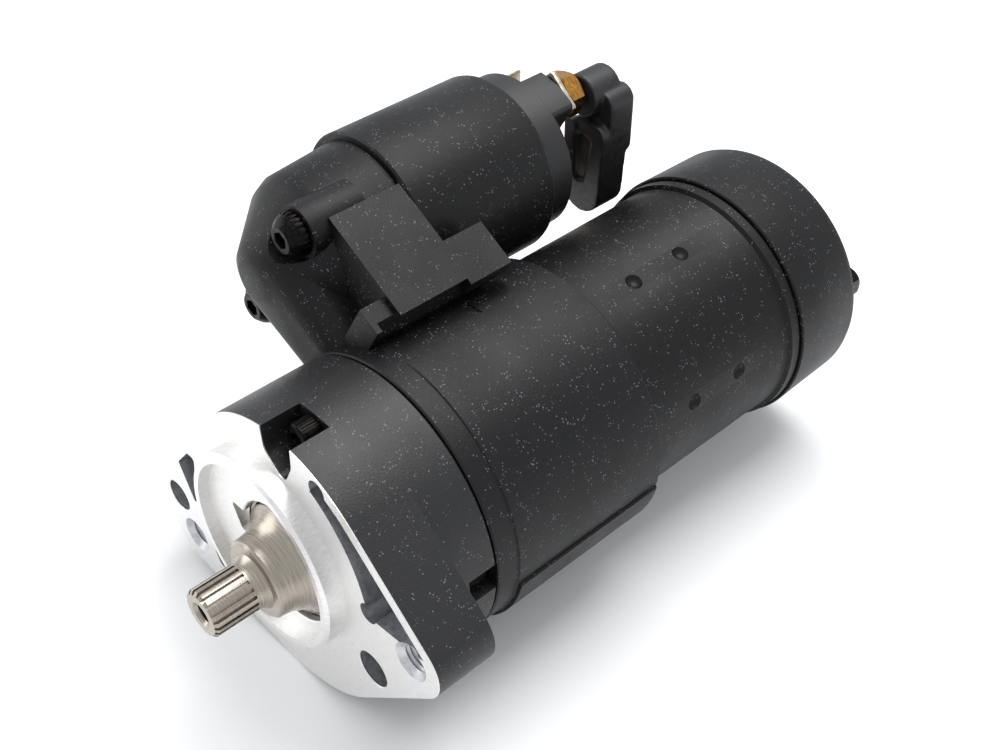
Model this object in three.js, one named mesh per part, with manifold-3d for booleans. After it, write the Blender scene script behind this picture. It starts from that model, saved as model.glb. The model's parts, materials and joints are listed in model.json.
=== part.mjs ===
// Starter motor: a planetary reduction motor with its solenoid beside it, and a splined output shaft that the
// solenoid slides out through the mounting flange.
//
// Millimetres. The motor axis lies along Y: the output shaft points to -Y, the end cap closes the +Y end.
// The origin is where the motor axis meets the plane of the flange face.

import * as THREE from "three";
import { mergeVertices } from "three/addons/utils/BufferGeometryUtils.js";
import Module from "manifold-3d";

const wasm = await Module();
wasm.setup();

// ---------------------------------------------------------------------------------------------------------
// Driving dimensions
// ---------------------------------------------------------------------------------------------------------

const GAP = 0.3; // between two pieces that touch
const RUN = 0.4; // between two pieces that turn or slide in one another
const OVER = 1; // how far a cutting tool runs past the face it cuts

// lengths along the motor, from the flange face
const HOUSING_DEPTH = 33; // front housing
const GEAR_HOUSING_LENGTH = 61.2; // gear housing, behind the front housing
const YOKE_TAIL = 64.3; // yoke, from the gear housing's rear edge to the end cap
const CAP_LENGTH = 27.6; // end cap
const SKIRT_LAP = 14; // how far the yoke goes into the gear housing

// radii about the motor axis
const HOUSING_RADIUS = 41.8;
const GEAR_HOUSING_RADIUS = 42.3;
const YOKE_RADIUS = 38;
const CAP_RADIUS = 40.2;
const YOKE_WALL = 3.4;
const CAP_WALL = 3;

// mounting flange: the radii are of the material round each centre
const EAR_DEPTH = 18;
const OUTER_EAR_HOLE = { x: -57.9, z: -21, bore: 4.7, ear: 9.8 }; // plain
const LOWER_EAR_HOLE = { x: -51.7, z: -32.9, bore: 4.6, ear: 10.3 }; // threaded
const INNER_HOLE = { x: 31, z: -17, bore: 5.2, depth: 11 }; // plain and blind
const RIGHT_EAR_HOLE = { x: 46.8, z: 1, bore: 4.5, ear: 10.2 }; // threaded
const THREAD_CHAMFER = 1.1;
const FLANGE_BELLY_RADIUS = 47.2; // round the pilot's centre
const POCKET_DEPTH = 12;
const POCKET_RIM = 3.1;

// pilot ring, which is off the motor axis
const PILOT = { x: -7.3, z: -0.3 };
const PILOT_RADIUS = 29.1;
const PILOT_WALL = 2.8;
const PILOT_HEIGHT = 5.9;
const PILOT_FLOOR = 2.7; // height of the floor inside the ring
const PILOT_CHAMFER = 0.9;
const OUTPUT_HOLE_RADIUS = 17.7;

// screw pocket at the top of the front housing
const NOTCH_HALF_WIDTH = 6.6;
const NOTCH_DEPTH = 12;
const NOTCH_BOTTOM = 30.2;
const HOUSING_SCREW = { x: -0.8, z: 36.6, radius: 4.3, length: 5.6, shank: 2.4 };

// output shaft and its clutch
const SPLINE_RADIUS = 6.76;
const SPLINE_TEETH = 19;
const SPLINE_TOOTH = 0.85;
const SPLINE_TIP = 28; // in front of the flange face
const CONE_FRONT = 11.9; // in front of the flange face
const CONE_RADIUS = 11.2;
const CLUTCH_RADIUS = 16.2;
const CENTRE_HOLE_RADIUS = 2.85;
const CENTRE_HOLE_DEPTH = 7;
const SHAFT_RADIUS = 6; // carrier shaft, inside the clutch
const COLLAR_RADIUS = 15;
const COLLAR_GROOVE = 6.4; // width of the groove that the lever's fork runs in

// planetary reduction
const GEAR_MODULE = 1.2;
const SUN_TEETH = 12;
const PLANET_TEETH = 15;
const RING_TEETH = SUN_TEETH + 2 * PLANET_TEETH;
const GEAR_FACE = 12;
const BACKLASH = 0.36;
const RING_RIM = 1.6;
const PLANET_PIN_RADIUS = 3;
const PLANETS = 3;

// motor
const MAGNETS = 6;
const MAGNET_THICKNESS = 7.2;
const MAGNET_LENGTH = 48;
const MAGNET_SPAN = 44; // degrees
const AIR_GAP = 0.7;
const CORE_LENGTH = 46;
const CORE_SLOTS = 16;
const MOTOR_SHAFT_RADIUS = 5;
const COMMUTATOR_RADIUS = 14;
const COMMUTATOR_LENGTH = 18;
const BRUSHES = 4;
const BRUSH_WIDTH = 9;
const BRUSH_HEIGHT = 10;

// through bolts, in the gaps between magnets
const BOLT_ANGLE = 12.5; // degrees above the horizontal
const BOLT_RADIUS = 2.4;
const BOLT_HEAD_RADIUS = 5;
const BOLT_HEAD_HEIGHT = 5;

// marks of the gear housing's casting
const HOUSING_PAD = { from: -62, to: -11, height: 0.9 }; // degrees from +X
const HOUSING_FLAT = { left: -10, right: -1.8 };

// solenoid, whose axis is parallel to the motor's
const SOLENOID = { x: -51, z: 44.5 };
const CAN_RADIUS = 27.4;
const CAN_WALL = 2.2;
const CAN_LENGTH = 48.6;
const CAN_START = 69.4;
const NOSE_RADIUS = CAN_RADIUS - 2.2; // gear housing in front of the can
const NOSE_FRONT = 30;
const NOSE_FLAT_RADIUS = 8;
const NOSE_CONE_BACK = 48;
const NOSE_TILT = 60; // degrees from +X to the line through its two screws
const NOSE_SCREW_CIRCLE = 18.8;
const NOSE_SCREW_SEAT = 40;
const NOSE_SCREW_HEAD = 6.4;
const NOSE_BOSS_RADIUS = 7.6;
const CHANNEL_WIDTH = 27; // of the box that the lever swings in
const CHANNEL_LEAN = 8; // degrees that its front leans back towards the motor
const SHOULDER = { top: 26.5, near: 3, far: 36, front: 45.6, back: 69.2 }; // flat block beside the nose
const SHOULDER_TAB = { near: 22.8, far: 36.8, length: 13.6, thickness: 6 };
const PLUNGER_RADIUS = 9.5;
const PLUNGER_TRAVEL = 9;
const TERMINAL_CAP_RADIUS = CAN_RADIUS - 3.2;
const TERMINAL_CAP_DEPTH = 10.4;
const TOWER_HEIGHT = 7.4; // above the cap's face, round each main stud
const STUD_CIRCLE = CAN_RADIUS - 10.2; // a stud keeps its distance from the can
const STUD_TILT = 70; // degrees from +X to the line through both main studs
const STUD_RADIUS = 4;

// shift lever
const PIVOT_FROM_MOTOR = 36; // distance of its pivot from the motor axis
const PIVOT_PIN_RADIUS = 3;
const LEVER_THICKNESS = 4;

// ---------------------------------------------------------------------------------------------------------
// Places worked out from the driving dimensions
// ---------------------------------------------------------------------------------------------------------

const degrees = (angle) => (angle * Math.PI) / 180;

// stations along the motor
const gearHousingFront = HOUSING_DEPTH + GAP;
const gearHousingBack = gearHousingFront + GEAR_HOUSING_LENGTH;
const yokeFront = gearHousingBack - SKIRT_LAP;
const yokeBack = gearHousingBack + YOKE_TAIL;
const capFront = yokeBack + GAP;
const capBack = capFront + CAP_LENGTH;
const centrePlateFront = yokeFront - GAP - 3.1;
const gearBack = centrePlateFront - 0.8;
const gearFront = gearBack - GEAR_FACE;
const carrierBack = gearFront - 0.4;
const carrierFront = carrierBack - 4;
const magnetFront = gearHousingBack + 1.6;
const coreFront = magnetFront + (MAGNET_LENGTH - CORE_LENGTH) / 2;
const coreBack = coreFront + CORE_LENGTH;
const commutatorFront = coreBack + 9;
const rearBearingFront = commutatorFront + COMMUTATOR_LENGTH + 2.5;
const brushPlateFront = commutatorFront + 2.6;
const brushFront = brushPlateFront + 3;

// radii
const yokeBore = YOKE_RADIUS - YOKE_WALL;
const boltCircle = yokeBore - GAP - BOLT_RADIUS;
const magnetOuter = yokeBore - GAP;
const magnetInner = magnetOuter - MAGNET_THICKNESS;
const coreRadius = magnetInner - AIR_GAP;
const sunPitch = (GEAR_MODULE * SUN_TEETH) / 2;
const planetPitch = (GEAR_MODULE * PLANET_TEETH) / 2;
const ringPitch = (GEAR_MODULE * RING_TEETH) / 2;
const planetCircle = sunPitch + planetPitch;
const ringOuter = ringPitch + 1.25 * GEAR_MODULE + RING_RIM;
const clutchBore = SHAFT_RADIUS + RUN;

// the line from the motor axis to the solenoid's, in the XZ plane
const solenoidDistance = Math.hypot(SOLENOID.x, SOLENOID.z);
const solenoidAngle = Math.atan2(SOLENOID.z, SOLENOID.x);
const nose = degrees(NOSE_TILT);
const canBack = CAN_START + CAN_LENGTH;

// the lever stands square to the motor axis at half travel
const leverRatio = PIVOT_FROM_MOTOR / (solenoidDistance - PIVOT_FROM_MOTOR);
const clutchTravel = PLUNGER_TRAVEL * leverRatio;
const pivotY = 48;
const collarRest = pivotY + clutchTravel / 2;
const plungerSlotRest = pivotY - PLUNGER_TRAVEL / 2;
const leverSwing = Math.atan2(clutchTravel / 2, PIVOT_FROM_MOTOR);

// clutch stations at rest
const barrelBack = 21.5;
const shellFront = barrelBack + 2.5;
const shellBack = shellFront + 24;
const sleeveBack = collarRest + COLLAR_GROOVE / 2 + 2.6;

// ---------------------------------------------------------------------------------------------------------
// Small tools
// ---------------------------------------------------------------------------------------------------------

// Closed geometry to a solid that can be joined and cut.
function solid(geometry) {
  const bare = geometry.clone();
  bare.deleteAttribute("normal");
  bare.deleteAttribute("uv");
  const merged = mergeVertices(bare, 1e-4);
  return new wasm.Manifold(
    new wasm.Mesh({
      numProp: 3,
      vertProperties: merged.attributes.position.array,
      triVerts: new Uint32Array(merged.index.array),
    }),
  );
}

function join(first, ...rest) {
  return rest.reduce((whole, piece) => whole.add(piece), first);
}

function cut(first, ...tools) {
  return tools.reduce((whole, tool) => whole.subtract(tool), first);
}

// Sides of a round piece: the larger its radius, the more it has.
const sidesOf = (radius) => 4 * Math.round(1.5 * Math.sqrt(radius));

// A solid turned about the motor axis from [radius, y] pairs. The profile runs from axis to axis, or closes.
function turned(profile) {
  const points = profile.map(([r, y]) => new THREE.Vector2(r, y));
  const segments = sidesOf(Math.max(...profile.map(([r]) => r)));
  if (profile[0][0] > 0) points.push(points[0].clone());
  if (THREE.ShapeUtils.area(points) < 0) points.reverse();
  return solid(new THREE.LatheGeometry(points, segments));
}

function ring(inner, outer, front, back) {
  const section = [
    [inner, front],
    [outer, front],
    [outer, back],
    [inner, back],
  ];
  return turned(section);
}

function rod(radius, front, back, chamfer = 0) {
  const section = [
    [0, front],
    [radius - chamfer, front],
    [radius, front + chamfer],
    [radius, back - chamfer],
    [radius - chamfer, back],
    [0, back],
  ];
  return turned(chamfer ? section : section.filter((_, i) => i !== 2 && i !== 3));
}

// A shape drawn in the XZ plane, with material from y = front to y = back.
function plate(shape, front, back, curveSegments = 12) {
  const depth = back - front;
  const geometry = new THREE.ExtrudeGeometry(shape, { depth, bevelEnabled: false, curveSegments });
  geometry.rotateX(Math.PI / 2);
  geometry.translate(0, back, 0);
  return solid(geometry);
}

function block(x0, x1, front, back, z0, z1) {
  const geometry = new THREE.BoxGeometry(x1 - x0, back - front, z1 - z0);
  geometry.translate((x0 + x1) / 2, (front + back) / 2, (z0 + z1) / 2);
  return solid(geometry);
}

// A piece drawn about the motor axis, moved to another axis that is parallel to it.
const at = (piece, place) => piece.translate([place.x, 0, place.z]);

// Turns a piece about the motor axis, from +X towards +Z.
const spun = (piece, angle) => piece.rotate([0, (-angle * 180) / Math.PI, 0]);

const polar = (radius, angle) => ({ x: radius * Math.cos(angle), z: radius * Math.sin(angle) });

function shapeOf(points) {
  return new THREE.Shape(points.map(([x, z]) => new THREE.Vector2(x, z)));
}

function roundedBox(width, height, radius) {
  const [w, h] = [width / 2, height / 2];
  const shape = new THREE.Shape();
  shape.absarc(w - radius, h - radius, radius, 0, Math.PI / 2);
  shape.absarc(radius - w, h - radius, radius, Math.PI / 2, Math.PI);
  shape.absarc(radius - w, radius - h, radius, Math.PI, 1.5 * Math.PI);
  shape.absarc(w - radius, radius - h, radius, 1.5 * Math.PI, 2 * Math.PI);
  return shape;
}

const meshes = [];

function piece(name, body, finish) {
  const { vertProperties, triVerts } = body.getMesh();
  const geometry = new THREE.BufferGeometry();
  geometry.setAttribute("position", new THREE.BufferAttribute(vertProperties, 3));
  geometry.setIndex(new THREE.BufferAttribute(triVerts, 1));
  geometry.computeVertexNormals();
  const mesh = new THREE.Mesh(geometry, finish);
  mesh.name = name;
  meshes.push(mesh);
  return mesh;
}

function finish(color, roughness, metalness) {
  return new THREE.MeshStandardMaterial({ color, roughness, metalness });
}
const blackPaint = finish(0x1d1d1f, 0.6, 0.1);
const bareAluminium = finish(0xc9cbcc, 0.4, 0.9);
const darkSteel = finish(0x2b2a29, 0.4, 0.8);
const brightSteel = finish(0xb9b2a6, 0.3, 1);
const blackPlastic = finish(0x202022, 0.5, 0);
const blackRubber = finish(0x1b1b1d, 0.4, 0);
const brass = finish(0xb98543, 0.35, 1);
const copper = finish(0xb46a42, 0.35, 1);
const nickel = finish(0xc2bcae, 0.3, 1);
const magnetGrey = finish(0x3b3b3e, 0.7, 0.2);
const graphite = finish(0x39383a, 0.6, 0.2);

// ---------------------------------------------------------------------------------------------------------
// Front housing
// ---------------------------------------------------------------------------------------------------------

// The outline that a belt would take round a ring of circles, given anticlockwise; each has x, z and radius.
function beltAround(circles, inset = 0) {
  const shape = new THREE.Shape();
  const normals = circles.map((a, i) => {
    const b = circles[(i + 1) % circles.length];
    const [dx, dz] = [b.x - a.x, b.z - a.z];
    return Math.atan2(dz, dx) - Math.acos((a.radius - b.radius) / Math.hypot(dx, dz));
  });
  circles.forEach((c, i) => {
    const from = normals[(i + circles.length - 1) % circles.length];
    let to = normals[i];
    while (to < from) to += 2 * Math.PI;
    shape.absarc(c.x, c.z, c.radius - inset, from, to);
  });
  return shape;
}

const flangeCircles = [
  { x: 0, z: 0, radius: HOUSING_RADIUS },
  { x: OUTER_EAR_HOLE.x, z: OUTER_EAR_HOLE.z, radius: OUTER_EAR_HOLE.ear },
  { x: LOWER_EAR_HOLE.x, z: LOWER_EAR_HOLE.z, radius: LOWER_EAR_HOLE.ear },
  { x: PILOT.x, z: PILOT.z, radius: FLANGE_BELLY_RADIUS },
  { x: RIGHT_EAR_HOLE.x, z: RIGHT_EAR_HOLE.z, radius: RIGHT_EAR_HOLE.ear },
];

const flangeBlank = () => plate(beltAround(flangeCircles), 0, EAR_DEPTH, 12);

// A cored pocket follows the flange's rim and stays outside the pilot ring.
// from and to are angles about the pilot.
function longPocket() {
  const inside = plate(beltAround(flangeCircles, POCKET_RIM), -OVER, POCKET_DEPTH, 10);
  const hub = at(rod(PILOT_RADIUS + 9.2, -2 * OVER, POCKET_DEPTH + OVER), PILOT);
  const reach = 70;
  const [low, high] = [degrees(6), degrees(60)];
  const wedge = shapeOf([
    [PILOT.x, PILOT.z],
    [PILOT.x + reach * Math.cos(low), PILOT.z + reach * Math.sin(low)],
    [PILOT.x + reach * Math.cos((low + high) / 2), PILOT.z + reach * Math.sin((low + high) / 2)],
    [PILOT.x + reach * Math.cos(high), PILOT.z + reach * Math.sin(high)],
  ]);
  const sector = plate(wedge, -2 * OVER, POCKET_DEPTH + OVER);
  const ends = [
    { angle: high, x: 1.4, z: -0.6 },
    { angle: low, x: -2.6, z: 1 },
  ];
  const rounds = ends.map((end) => {
    const centre = polar(PILOT_RADIUS + 12.2, end.angle);
    const place = { x: PILOT.x + centre.x + end.x, z: PILOT.z + centre.z + end.z };
    return at(rod(3, -OVER, POCKET_DEPTH), place);
  });
  return join(inside.subtract(hub).intersect(sector), ...rounds);
}

function smallPocket(points) {
  return plate(shapeOf(points), -OVER, POCKET_DEPTH);
}

// The notch is open at the top and at the flange face, and has a rounded V bottom.
function screwNotch() {
  const top = HOUSING_RADIUS + 2;
  const centre = (HOUSING_SCREW.x * 2 + 0.2) / 2;
  const shape = new THREE.Shape();
  shape.moveTo(centre - NOTCH_HALF_WIDTH, top);
  shape.lineTo(centre - NOTCH_HALF_WIDTH + 0.6, HOUSING_SCREW.z);
  shape.lineTo(centre - 2.4, NOTCH_BOTTOM + 1);
  shape.quadraticCurveTo(centre + 1.5, NOTCH_BOTTOM - 1.6, centre + 4, NOTCH_BOTTOM + 2);
  shape.lineTo(centre + NOTCH_HALF_WIDTH - 0.6, HOUSING_SCREW.z + 1);
  shape.lineTo(centre + NOTCH_HALF_WIDTH, top);
  shape.closePath();
  return plate(shape, -OVER, NOTCH_DEPTH);
}

function threadedHole(hole) {
  const back = EAR_DEPTH + OVER;
  const profile = [
    [0, -OVER],
    [hole.bore + THREAD_CHAMFER + OVER, -OVER],
    [hole.bore, THREAD_CHAMFER],
    [hole.bore, back],
    [0, back],
  ];
  return at(turned(profile), hole);
}

const bearingFront = -0.3;
const bearingBack = 6.6;
const sealBack = 10.4;
const bearingRadius = 20.3;

function frontHousing() {
  const barrel = turned(
    [
      [0, 0],
      [HOUSING_RADIUS, 0],
      [HOUSING_RADIUS, HOUSING_DEPTH - 0.6],
      [HOUSING_RADIUS - 0.6, HOUSING_DEPTH],
      [0, HOUSING_DEPTH],
    ]);
  const pilot = turned(
    [
      [0, 0.5],
      [PILOT_RADIUS, 0.5],
      [PILOT_RADIUS, PILOT_CHAMFER - PILOT_HEIGHT],
      [PILOT_RADIUS - PILOT_CHAMFER, -PILOT_HEIGHT],
      [PILOT_RADIUS - PILOT_WALL, -PILOT_HEIGHT],
      [PILOT_RADIUS - PILOT_WALL - 0.4, -PILOT_FLOOR],
      [0, -PILOT_FLOOR],
    ]);
  const seat = bearingRadius + GAP;
  const inside = turned(
    [
      [0, -PILOT_HEIGHT - OVER],
      [OUTPUT_HOLE_RADIUS, -PILOT_HEIGHT - OVER],
      [OUTPUT_HOLE_RADIUS, bearingFront - GAP],
      [seat, bearingFront - GAP],
      [seat, sealBack + 0.6],
      [31, sealBack + 3],
      [31, HOUSING_DEPTH + OVER],
      [0, HOUSING_DEPTH + OVER],
    ]);
  // three-sided relief cut in the pocket's floor beside the output hole
  const relief = plate(
    shapeOf([
      [-21.7, 6.4],
      [-12, 6],
      [-12, -4],
      [-18.6, -1.9],
      [-21.4, 0.4],
    ]),
    -PILOT_HEIGHT - OVER,
    bearingFront - 0.4,
  );
  const upperPocket = smallPocket([
    [-47.1, 3.4],
    [-43.9, 3.2],
    [-46.1, -2.4],
    [-47.4, -9.4],
    [-47.3, -17],
    [-50.2, -12.6],
    [-52.4, -6.2],
    [-54, -4.9],
  ]);
  const lowerPocket = smallPocket([
    [-42.2, -27.4],
    [-40.2, -26],
    [-37.3, -27],
    [-34.8, -30.6],
    [-35.6, -35.6],
    [-39.3, -36.2],
    [-41.6, -32],
  ]);
  // window in the rear edge, on the right-hand side
  const window = block(37.5, HOUSING_RADIUS + 2, HOUSING_DEPTH - 9.3, HOUSING_DEPTH + OVER, -2.2, 6);
  const outerHole = at(rod(OUTER_EAR_HOLE.bore, -OVER, EAR_DEPTH + OVER), OUTER_EAR_HOLE);
  const innerHole = at(rod(INNER_HOLE.bore, -OVER, INNER_HOLE.depth), INNER_HOLE);
  const screwHole = at(rod(HOUSING_SCREW.shank + GAP, 0, HOUSING_DEPTH + OVER), HOUSING_SCREW);
  const body = cut(
    join(flangeBlank(), barrel, at(pilot, PILOT)),
    inside,
    relief,
    upperPocket,
    lowerPocket,
    longPocket(),
    screwNotch(),
    window,
    outerHole,
    innerHole,
    threadedHole(LOWER_EAR_HOLE),
    threadedHole(RIGHT_EAR_HOLE),
    screwHole,
  );
  return piece("front_housing", body, blackPaint);
}

// ---------------------------------------------------------------------------------------------------------
// Gear housing: barrel, solenoid nose, channel for the lever and the flat shoulder beside the nose
// ---------------------------------------------------------------------------------------------------------

// Blocks of the nose are drawn with the solenoid's axis as origin and the line through its screws upright.
const inNose = (body) => at(spun(body, nose - Math.PI / 2), SOLENOID);

// The lever's channel is drawn with +Z towards the motor axis, then turned onto the line between the axes.
const toMotor = (body) => at(spun(body, solenoidAngle + Math.PI / 2), SOLENOID);

const boltPlaces = [0, Math.PI].map((turn) => polar(boltCircle, degrees(BOLT_ANGLE) + turn));
const fromSolenoid = (arm) => ({ x: SOLENOID.x + arm.x, z: SOLENOID.z + arm.z });
const noseScrewPlaces = [1, -1].map((side) => fromSolenoid(polar(side * NOSE_SCREW_CIRCLE, nose)));

function noseBody() {
  const cone = turned(
    [
      [0, NOSE_FRONT],
      [NOSE_FLAT_RADIUS - 2, NOSE_FRONT],
      [NOSE_FLAT_RADIUS + 1.5, NOSE_FRONT + 1.6],
      [NOSE_RADIUS - 3.4, NOSE_CONE_BACK - 3.2],
      [NOSE_RADIUS - 1.6, NOSE_CONE_BACK + 0.6],
      [NOSE_RADIUS, CAN_START - GAP],
      [0, CAN_START - GAP],
    ]);
  const bosses = noseScrewPlaces.map((place) => at(rod(NOSE_BOSS_RADIUS, NOSE_SCREW_SEAT, 58), place));
  // the channel's front corners are round, and its front leans back towards the motor
  const depth = CAN_START - GAP - NOSE_FRONT;
  const section = roundedBox(CHANNEL_WIDTH, depth, 8);
  const channelGeometry = new THREE.ExtrudeGeometry(section, {
    depth: solenoidDistance - 20,
    bevelEnabled: false,
    curveSegments: 8,
  });
  channelGeometry.translate(0, depth / 2, 0);
  channelGeometry.rotateX(-degrees(CHANNEL_LEAN));
  channelGeometry.translate(0, NOSE_FRONT + 0.2, 0);
  const behind = block(-60, 60, CAN_START - GAP, CAN_START + 30, -60, 80);
  const overFrontHousing = rod(HOUSING_RADIUS + 2, 0, gearHousingFront);
  const channel = toMotor(solid(channelGeometry).subtract(behind)).subtract(overFrontHousing);
  const spotFaces = noseScrewPlaces.map((place) =>
    at(rod(NOSE_BOSS_RADIUS, NOSE_SCREW_SEAT - 20, NOSE_SCREW_SEAT), place),
  );
  return cut(join(at(cone, SOLENOID), channel, ...bosses), ...spotFaces);
}

// Flat block that bridges nose and barrel, with a tab that runs on beside the can.
function shoulder() {
  const { top, near, far, front, back } = SHOULDER;
  const slab = block(near, far, front, back, -10, top);
  const side = block(far - 8, far, front - 7.6, back + 7.2, -10, top - 2);
  const tabBack = back + SHOULDER_TAB.length;
  const tab = block(
    SHOULDER_TAB.near,
    SHOULDER_TAB.far,
    back - OVER,
    tabBack,
    top - SHOULDER_TAB.thickness,
    top,
  );
  return inNose(join(slab, side, tab));
}

function gearHousing() {
  const barrel = turned(
    [
      [0, gearHousingFront],
      [GEAR_HOUSING_RADIUS - 0.7, gearHousingFront],
      [GEAR_HOUSING_RADIUS - 0.4, gearHousingFront + 0.5],
      [GEAR_HOUSING_RADIUS - 0.4, gearHousingFront + 6.8],
      [GEAR_HOUSING_RADIUS, gearHousingFront + 7.2],
      [GEAR_HOUSING_RADIUS, gearHousingBack - 0.8],
      [GEAR_HOUSING_RADIUS - 0.8, gearHousingBack],
      [0, gearHousingBack],
    ]);
  const ringSeat = ringOuter + GAP;
  const inside = turned(
    [
      [0, NOSE_FRONT - 8],
      [31, NOSE_FRONT - 8],
      [31, carrierFront - 3],
      [ringSeat, carrierFront - 1],
      [ringSeat, centrePlateFront - GAP],
      [YOKE_RADIUS + GAP, centrePlateFront - GAP],
      [YOKE_RADIUS + GAP, gearHousingBack + OVER],
      [0, gearHousingBack + OVER],
    ]);
  const canBore = at(rod(PLUNGER_RADIUS + RUN, plungerSlotRest - 5.5, CAN_START + OVER), SOLENOID);
  const springBore = at(rod(13.6, plungerSlotRest + 2.6, CAN_START + OVER), SOLENOID);
  const leverRoom = toMotor(
    block(-8.5, 8.5, pivotY - 9.4, pivotY + 9.4, -(PLUNGER_RADIUS + RUN), solenoidDistance),
  );
  const pinHole = leverPin(PIVOT_PIN_RADIUS + GAP, 17);
  const boltHoles = boltPlaces.map((place) =>
    at(rod(BOLT_RADIUS + GAP, carrierFront - 2, gearHousingBack), place),
  );
  const screwHoles = noseScrewPlaces.map((place) => at(rod(2.7 + GAP, 30, CAN_START + OVER), place));
  const housingScrewHole = at(
    rod(HOUSING_SCREW.shank + GAP, gearHousingFront - OVER, gearHousingFront + 12),
    HOUSING_SCREW,
  );
  const canRoom = at(rod(CAN_RADIUS + GAP, CAN_START - GAP, gearHousingBack + OVER), SOLENOID);
  // a low pad on the barrel's lower right, and a shallow flat with a round end at the top
  const pad = new THREE.Shape();
  const padRadius = GEAR_HOUSING_RADIUS + HOUSING_PAD.height;
  pad.absarc(0, 0, padRadius, degrees(HOUSING_PAD.from), degrees(HOUSING_PAD.to));
  pad.lineTo(0, 0);
  const raised = plate(pad, gearHousingFront + 7.7, gearHousingBack - 0.8, 14);
  const flatDepth = 0.8;
  const flat = block(
    HOUSING_FLAT.left,
    HOUSING_FLAT.right,
    gearHousingFront + 6.4,
    gearHousingFront + 35,
    GEAR_HOUSING_RADIUS - flatDepth,
    GEAR_HOUSING_RADIUS + OVER,
  );
  const body = cut(
    join(barrel, raised, noseBody(), shoulder()),
    flat,
    inside,
    canRoom,
    canBore,
    springBore,
    leverRoom,
    pinHole,
    ...boltHoles,
    ...screwHoles,
    housingScrewHole,
  );
  return piece("gear_housing", body, blackPaint);
}

// The lever's pin lies square to the line between the axes.
function leverPin(radius, halfLength) {
  const geometry = new THREE.CylinderGeometry(radius, radius, 2 * halfLength, 20);
  geometry.rotateZ(Math.PI / 2);
  geometry.translate(0, pivotY, solenoidDistance - PIVOT_FROM_MOTOR);
  return toMotor(solid(geometry));
}

// ---------------------------------------------------------------------------------------------------------
// Motor: yoke, magnets, armature, brushes, end cap
// ---------------------------------------------------------------------------------------------------------

function motorYoke() {
  const outer = [
    [yokeBore, yokeFront],
    [YOKE_RADIUS, yokeFront],
    [YOKE_RADIUS, yokeBack - 5.4],
    [YOKE_RADIUS + 1.5, yokeBack - 3.6],
    [YOKE_RADIUS + 1.5, yokeBack - 0.4],
    [YOKE_RADIUS + 1.1, yokeBack],
    [yokeBore, yokeBack],
  ];
  const shell = turned(outer);
  // the yoke is staked at both ends of every gap between magnets
  const stakeRows = [magnetFront + 17, magnetFront + 36.4];
  const [stakeDepth, stakeBall] = [0.8, 5];
  const stakes = stakeRows.flatMap((y) =>
    Array.from({ length: MAGNETS }, (_, i) => {
      const dimple = new THREE.SphereGeometry(stakeBall, 16, 8);
      const place = polar(YOKE_RADIUS + stakeBall - stakeDepth, degrees(BOLT_ANGLE + (i * 360) / MAGNETS));
      dimple.translate(place.x, y, place.z);
      return solid(dimple);
    }),
  );
  return piece("motor_yoke", cut(shell, ...stakes), blackPaint);
}

function magnets() {
  for (let i = 0; i < MAGNETS; i++) {
    const middle = degrees(BOLT_ANGLE + ((i + 0.5) * 360) / MAGNETS);
    const half = degrees(MAGNET_SPAN / 2);
    const shape = new THREE.Shape();
    shape.absarc(0, 0, magnetOuter, middle - half, middle + half);
    shape.absarc(0, 0, magnetInner, middle + half, middle - half, true);
    piece(`magnet_${i + 1}`, plate(shape, magnetFront, magnetFront + MAGNET_LENGTH, 10), magnetGrey);
  }
}

function armature() {
  const sunRoot = sunPitch - 1.25 * GEAR_MODULE;
  const pinion = plate(gearShape(SUN_TEETH, 0.95), gearFront, gearBack + 0.4);
  const shaft = turned(
    [
      [0, carrierFront + 0.8],
      [2.8, carrierFront + 0.8],
      [2.8, gearFront - 0.2],
      [sunRoot, gearFront - 0.2],
      [sunRoot, gearBack + 0.2],
      [MOTOR_SHAFT_RADIUS, gearBack + 0.8],
      [MOTOR_SHAFT_RADIUS, rearBearingFront + 8.4],
      [MOTOR_SHAFT_RADIUS - 1, rearBearingFront + 9],
      [0, rearBearingFront + 9],
    ]);
  piece("armature_shaft", join(shaft, pinion), brightSteel);

  const slot = 4.2;
  const slotFloor = coreRadius - 8.5;
  const coreBody = ring(MOTOR_SHAFT_RADIUS + GAP, coreRadius, coreFront, coreBack);
  const oneSlot = block(
    slotFloor,
    coreRadius + OVER,
    coreFront - OVER,
    coreBack + OVER,
    -slot / 2,
    slot / 2,
  );
  const slotAngles = Array.from({ length: CORE_SLOTS }, (_, i) => (i * 2 * Math.PI) / CORE_SLOTS);
  const slots = slotAngles.map((angle) => spun(oneSlot, angle));
  piece("armature_core", cut(coreBody, ...slots), darkSteel);

  const wire = slot - 2 * GAP;
  const headInner = MOTOR_SHAFT_RADIUS + 2.5;
  const front = turned(
    [
      [headInner, coreFront - 6.5],
      [coreRadius - 5, coreFront - 6.5],
      [coreRadius - 1.4, coreFront - 3.6],
      [coreRadius - 1.4, coreFront - GAP],
      [headInner, coreFront - GAP],
    ]);
  const rear = turned(
    [
      [headInner, coreBack + GAP],
      [coreRadius - 1.4, coreBack + GAP],
      [coreRadius - 1.4, coreBack + 3.4],
      [coreRadius - 5, coreBack + 7],
      [headInner, coreBack + 7],
    ]);
  const bar = block(slotFloor + GAP, coreRadius - 1.6, coreFront - 1, coreBack + 1, -wire / 2, wire / 2);
  const bars = slotAngles.map((angle) => spun(bar, angle));
  piece("armature_winding", join(front, rear, ...bars), copper);

  const segments = ring(
    MOTOR_SHAFT_RADIUS + GAP,
    COMMUTATOR_RADIUS,
    commutatorFront,
    commutatorFront + COMMUTATOR_LENGTH);
  piece("commutator", segments, copper);
}

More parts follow.
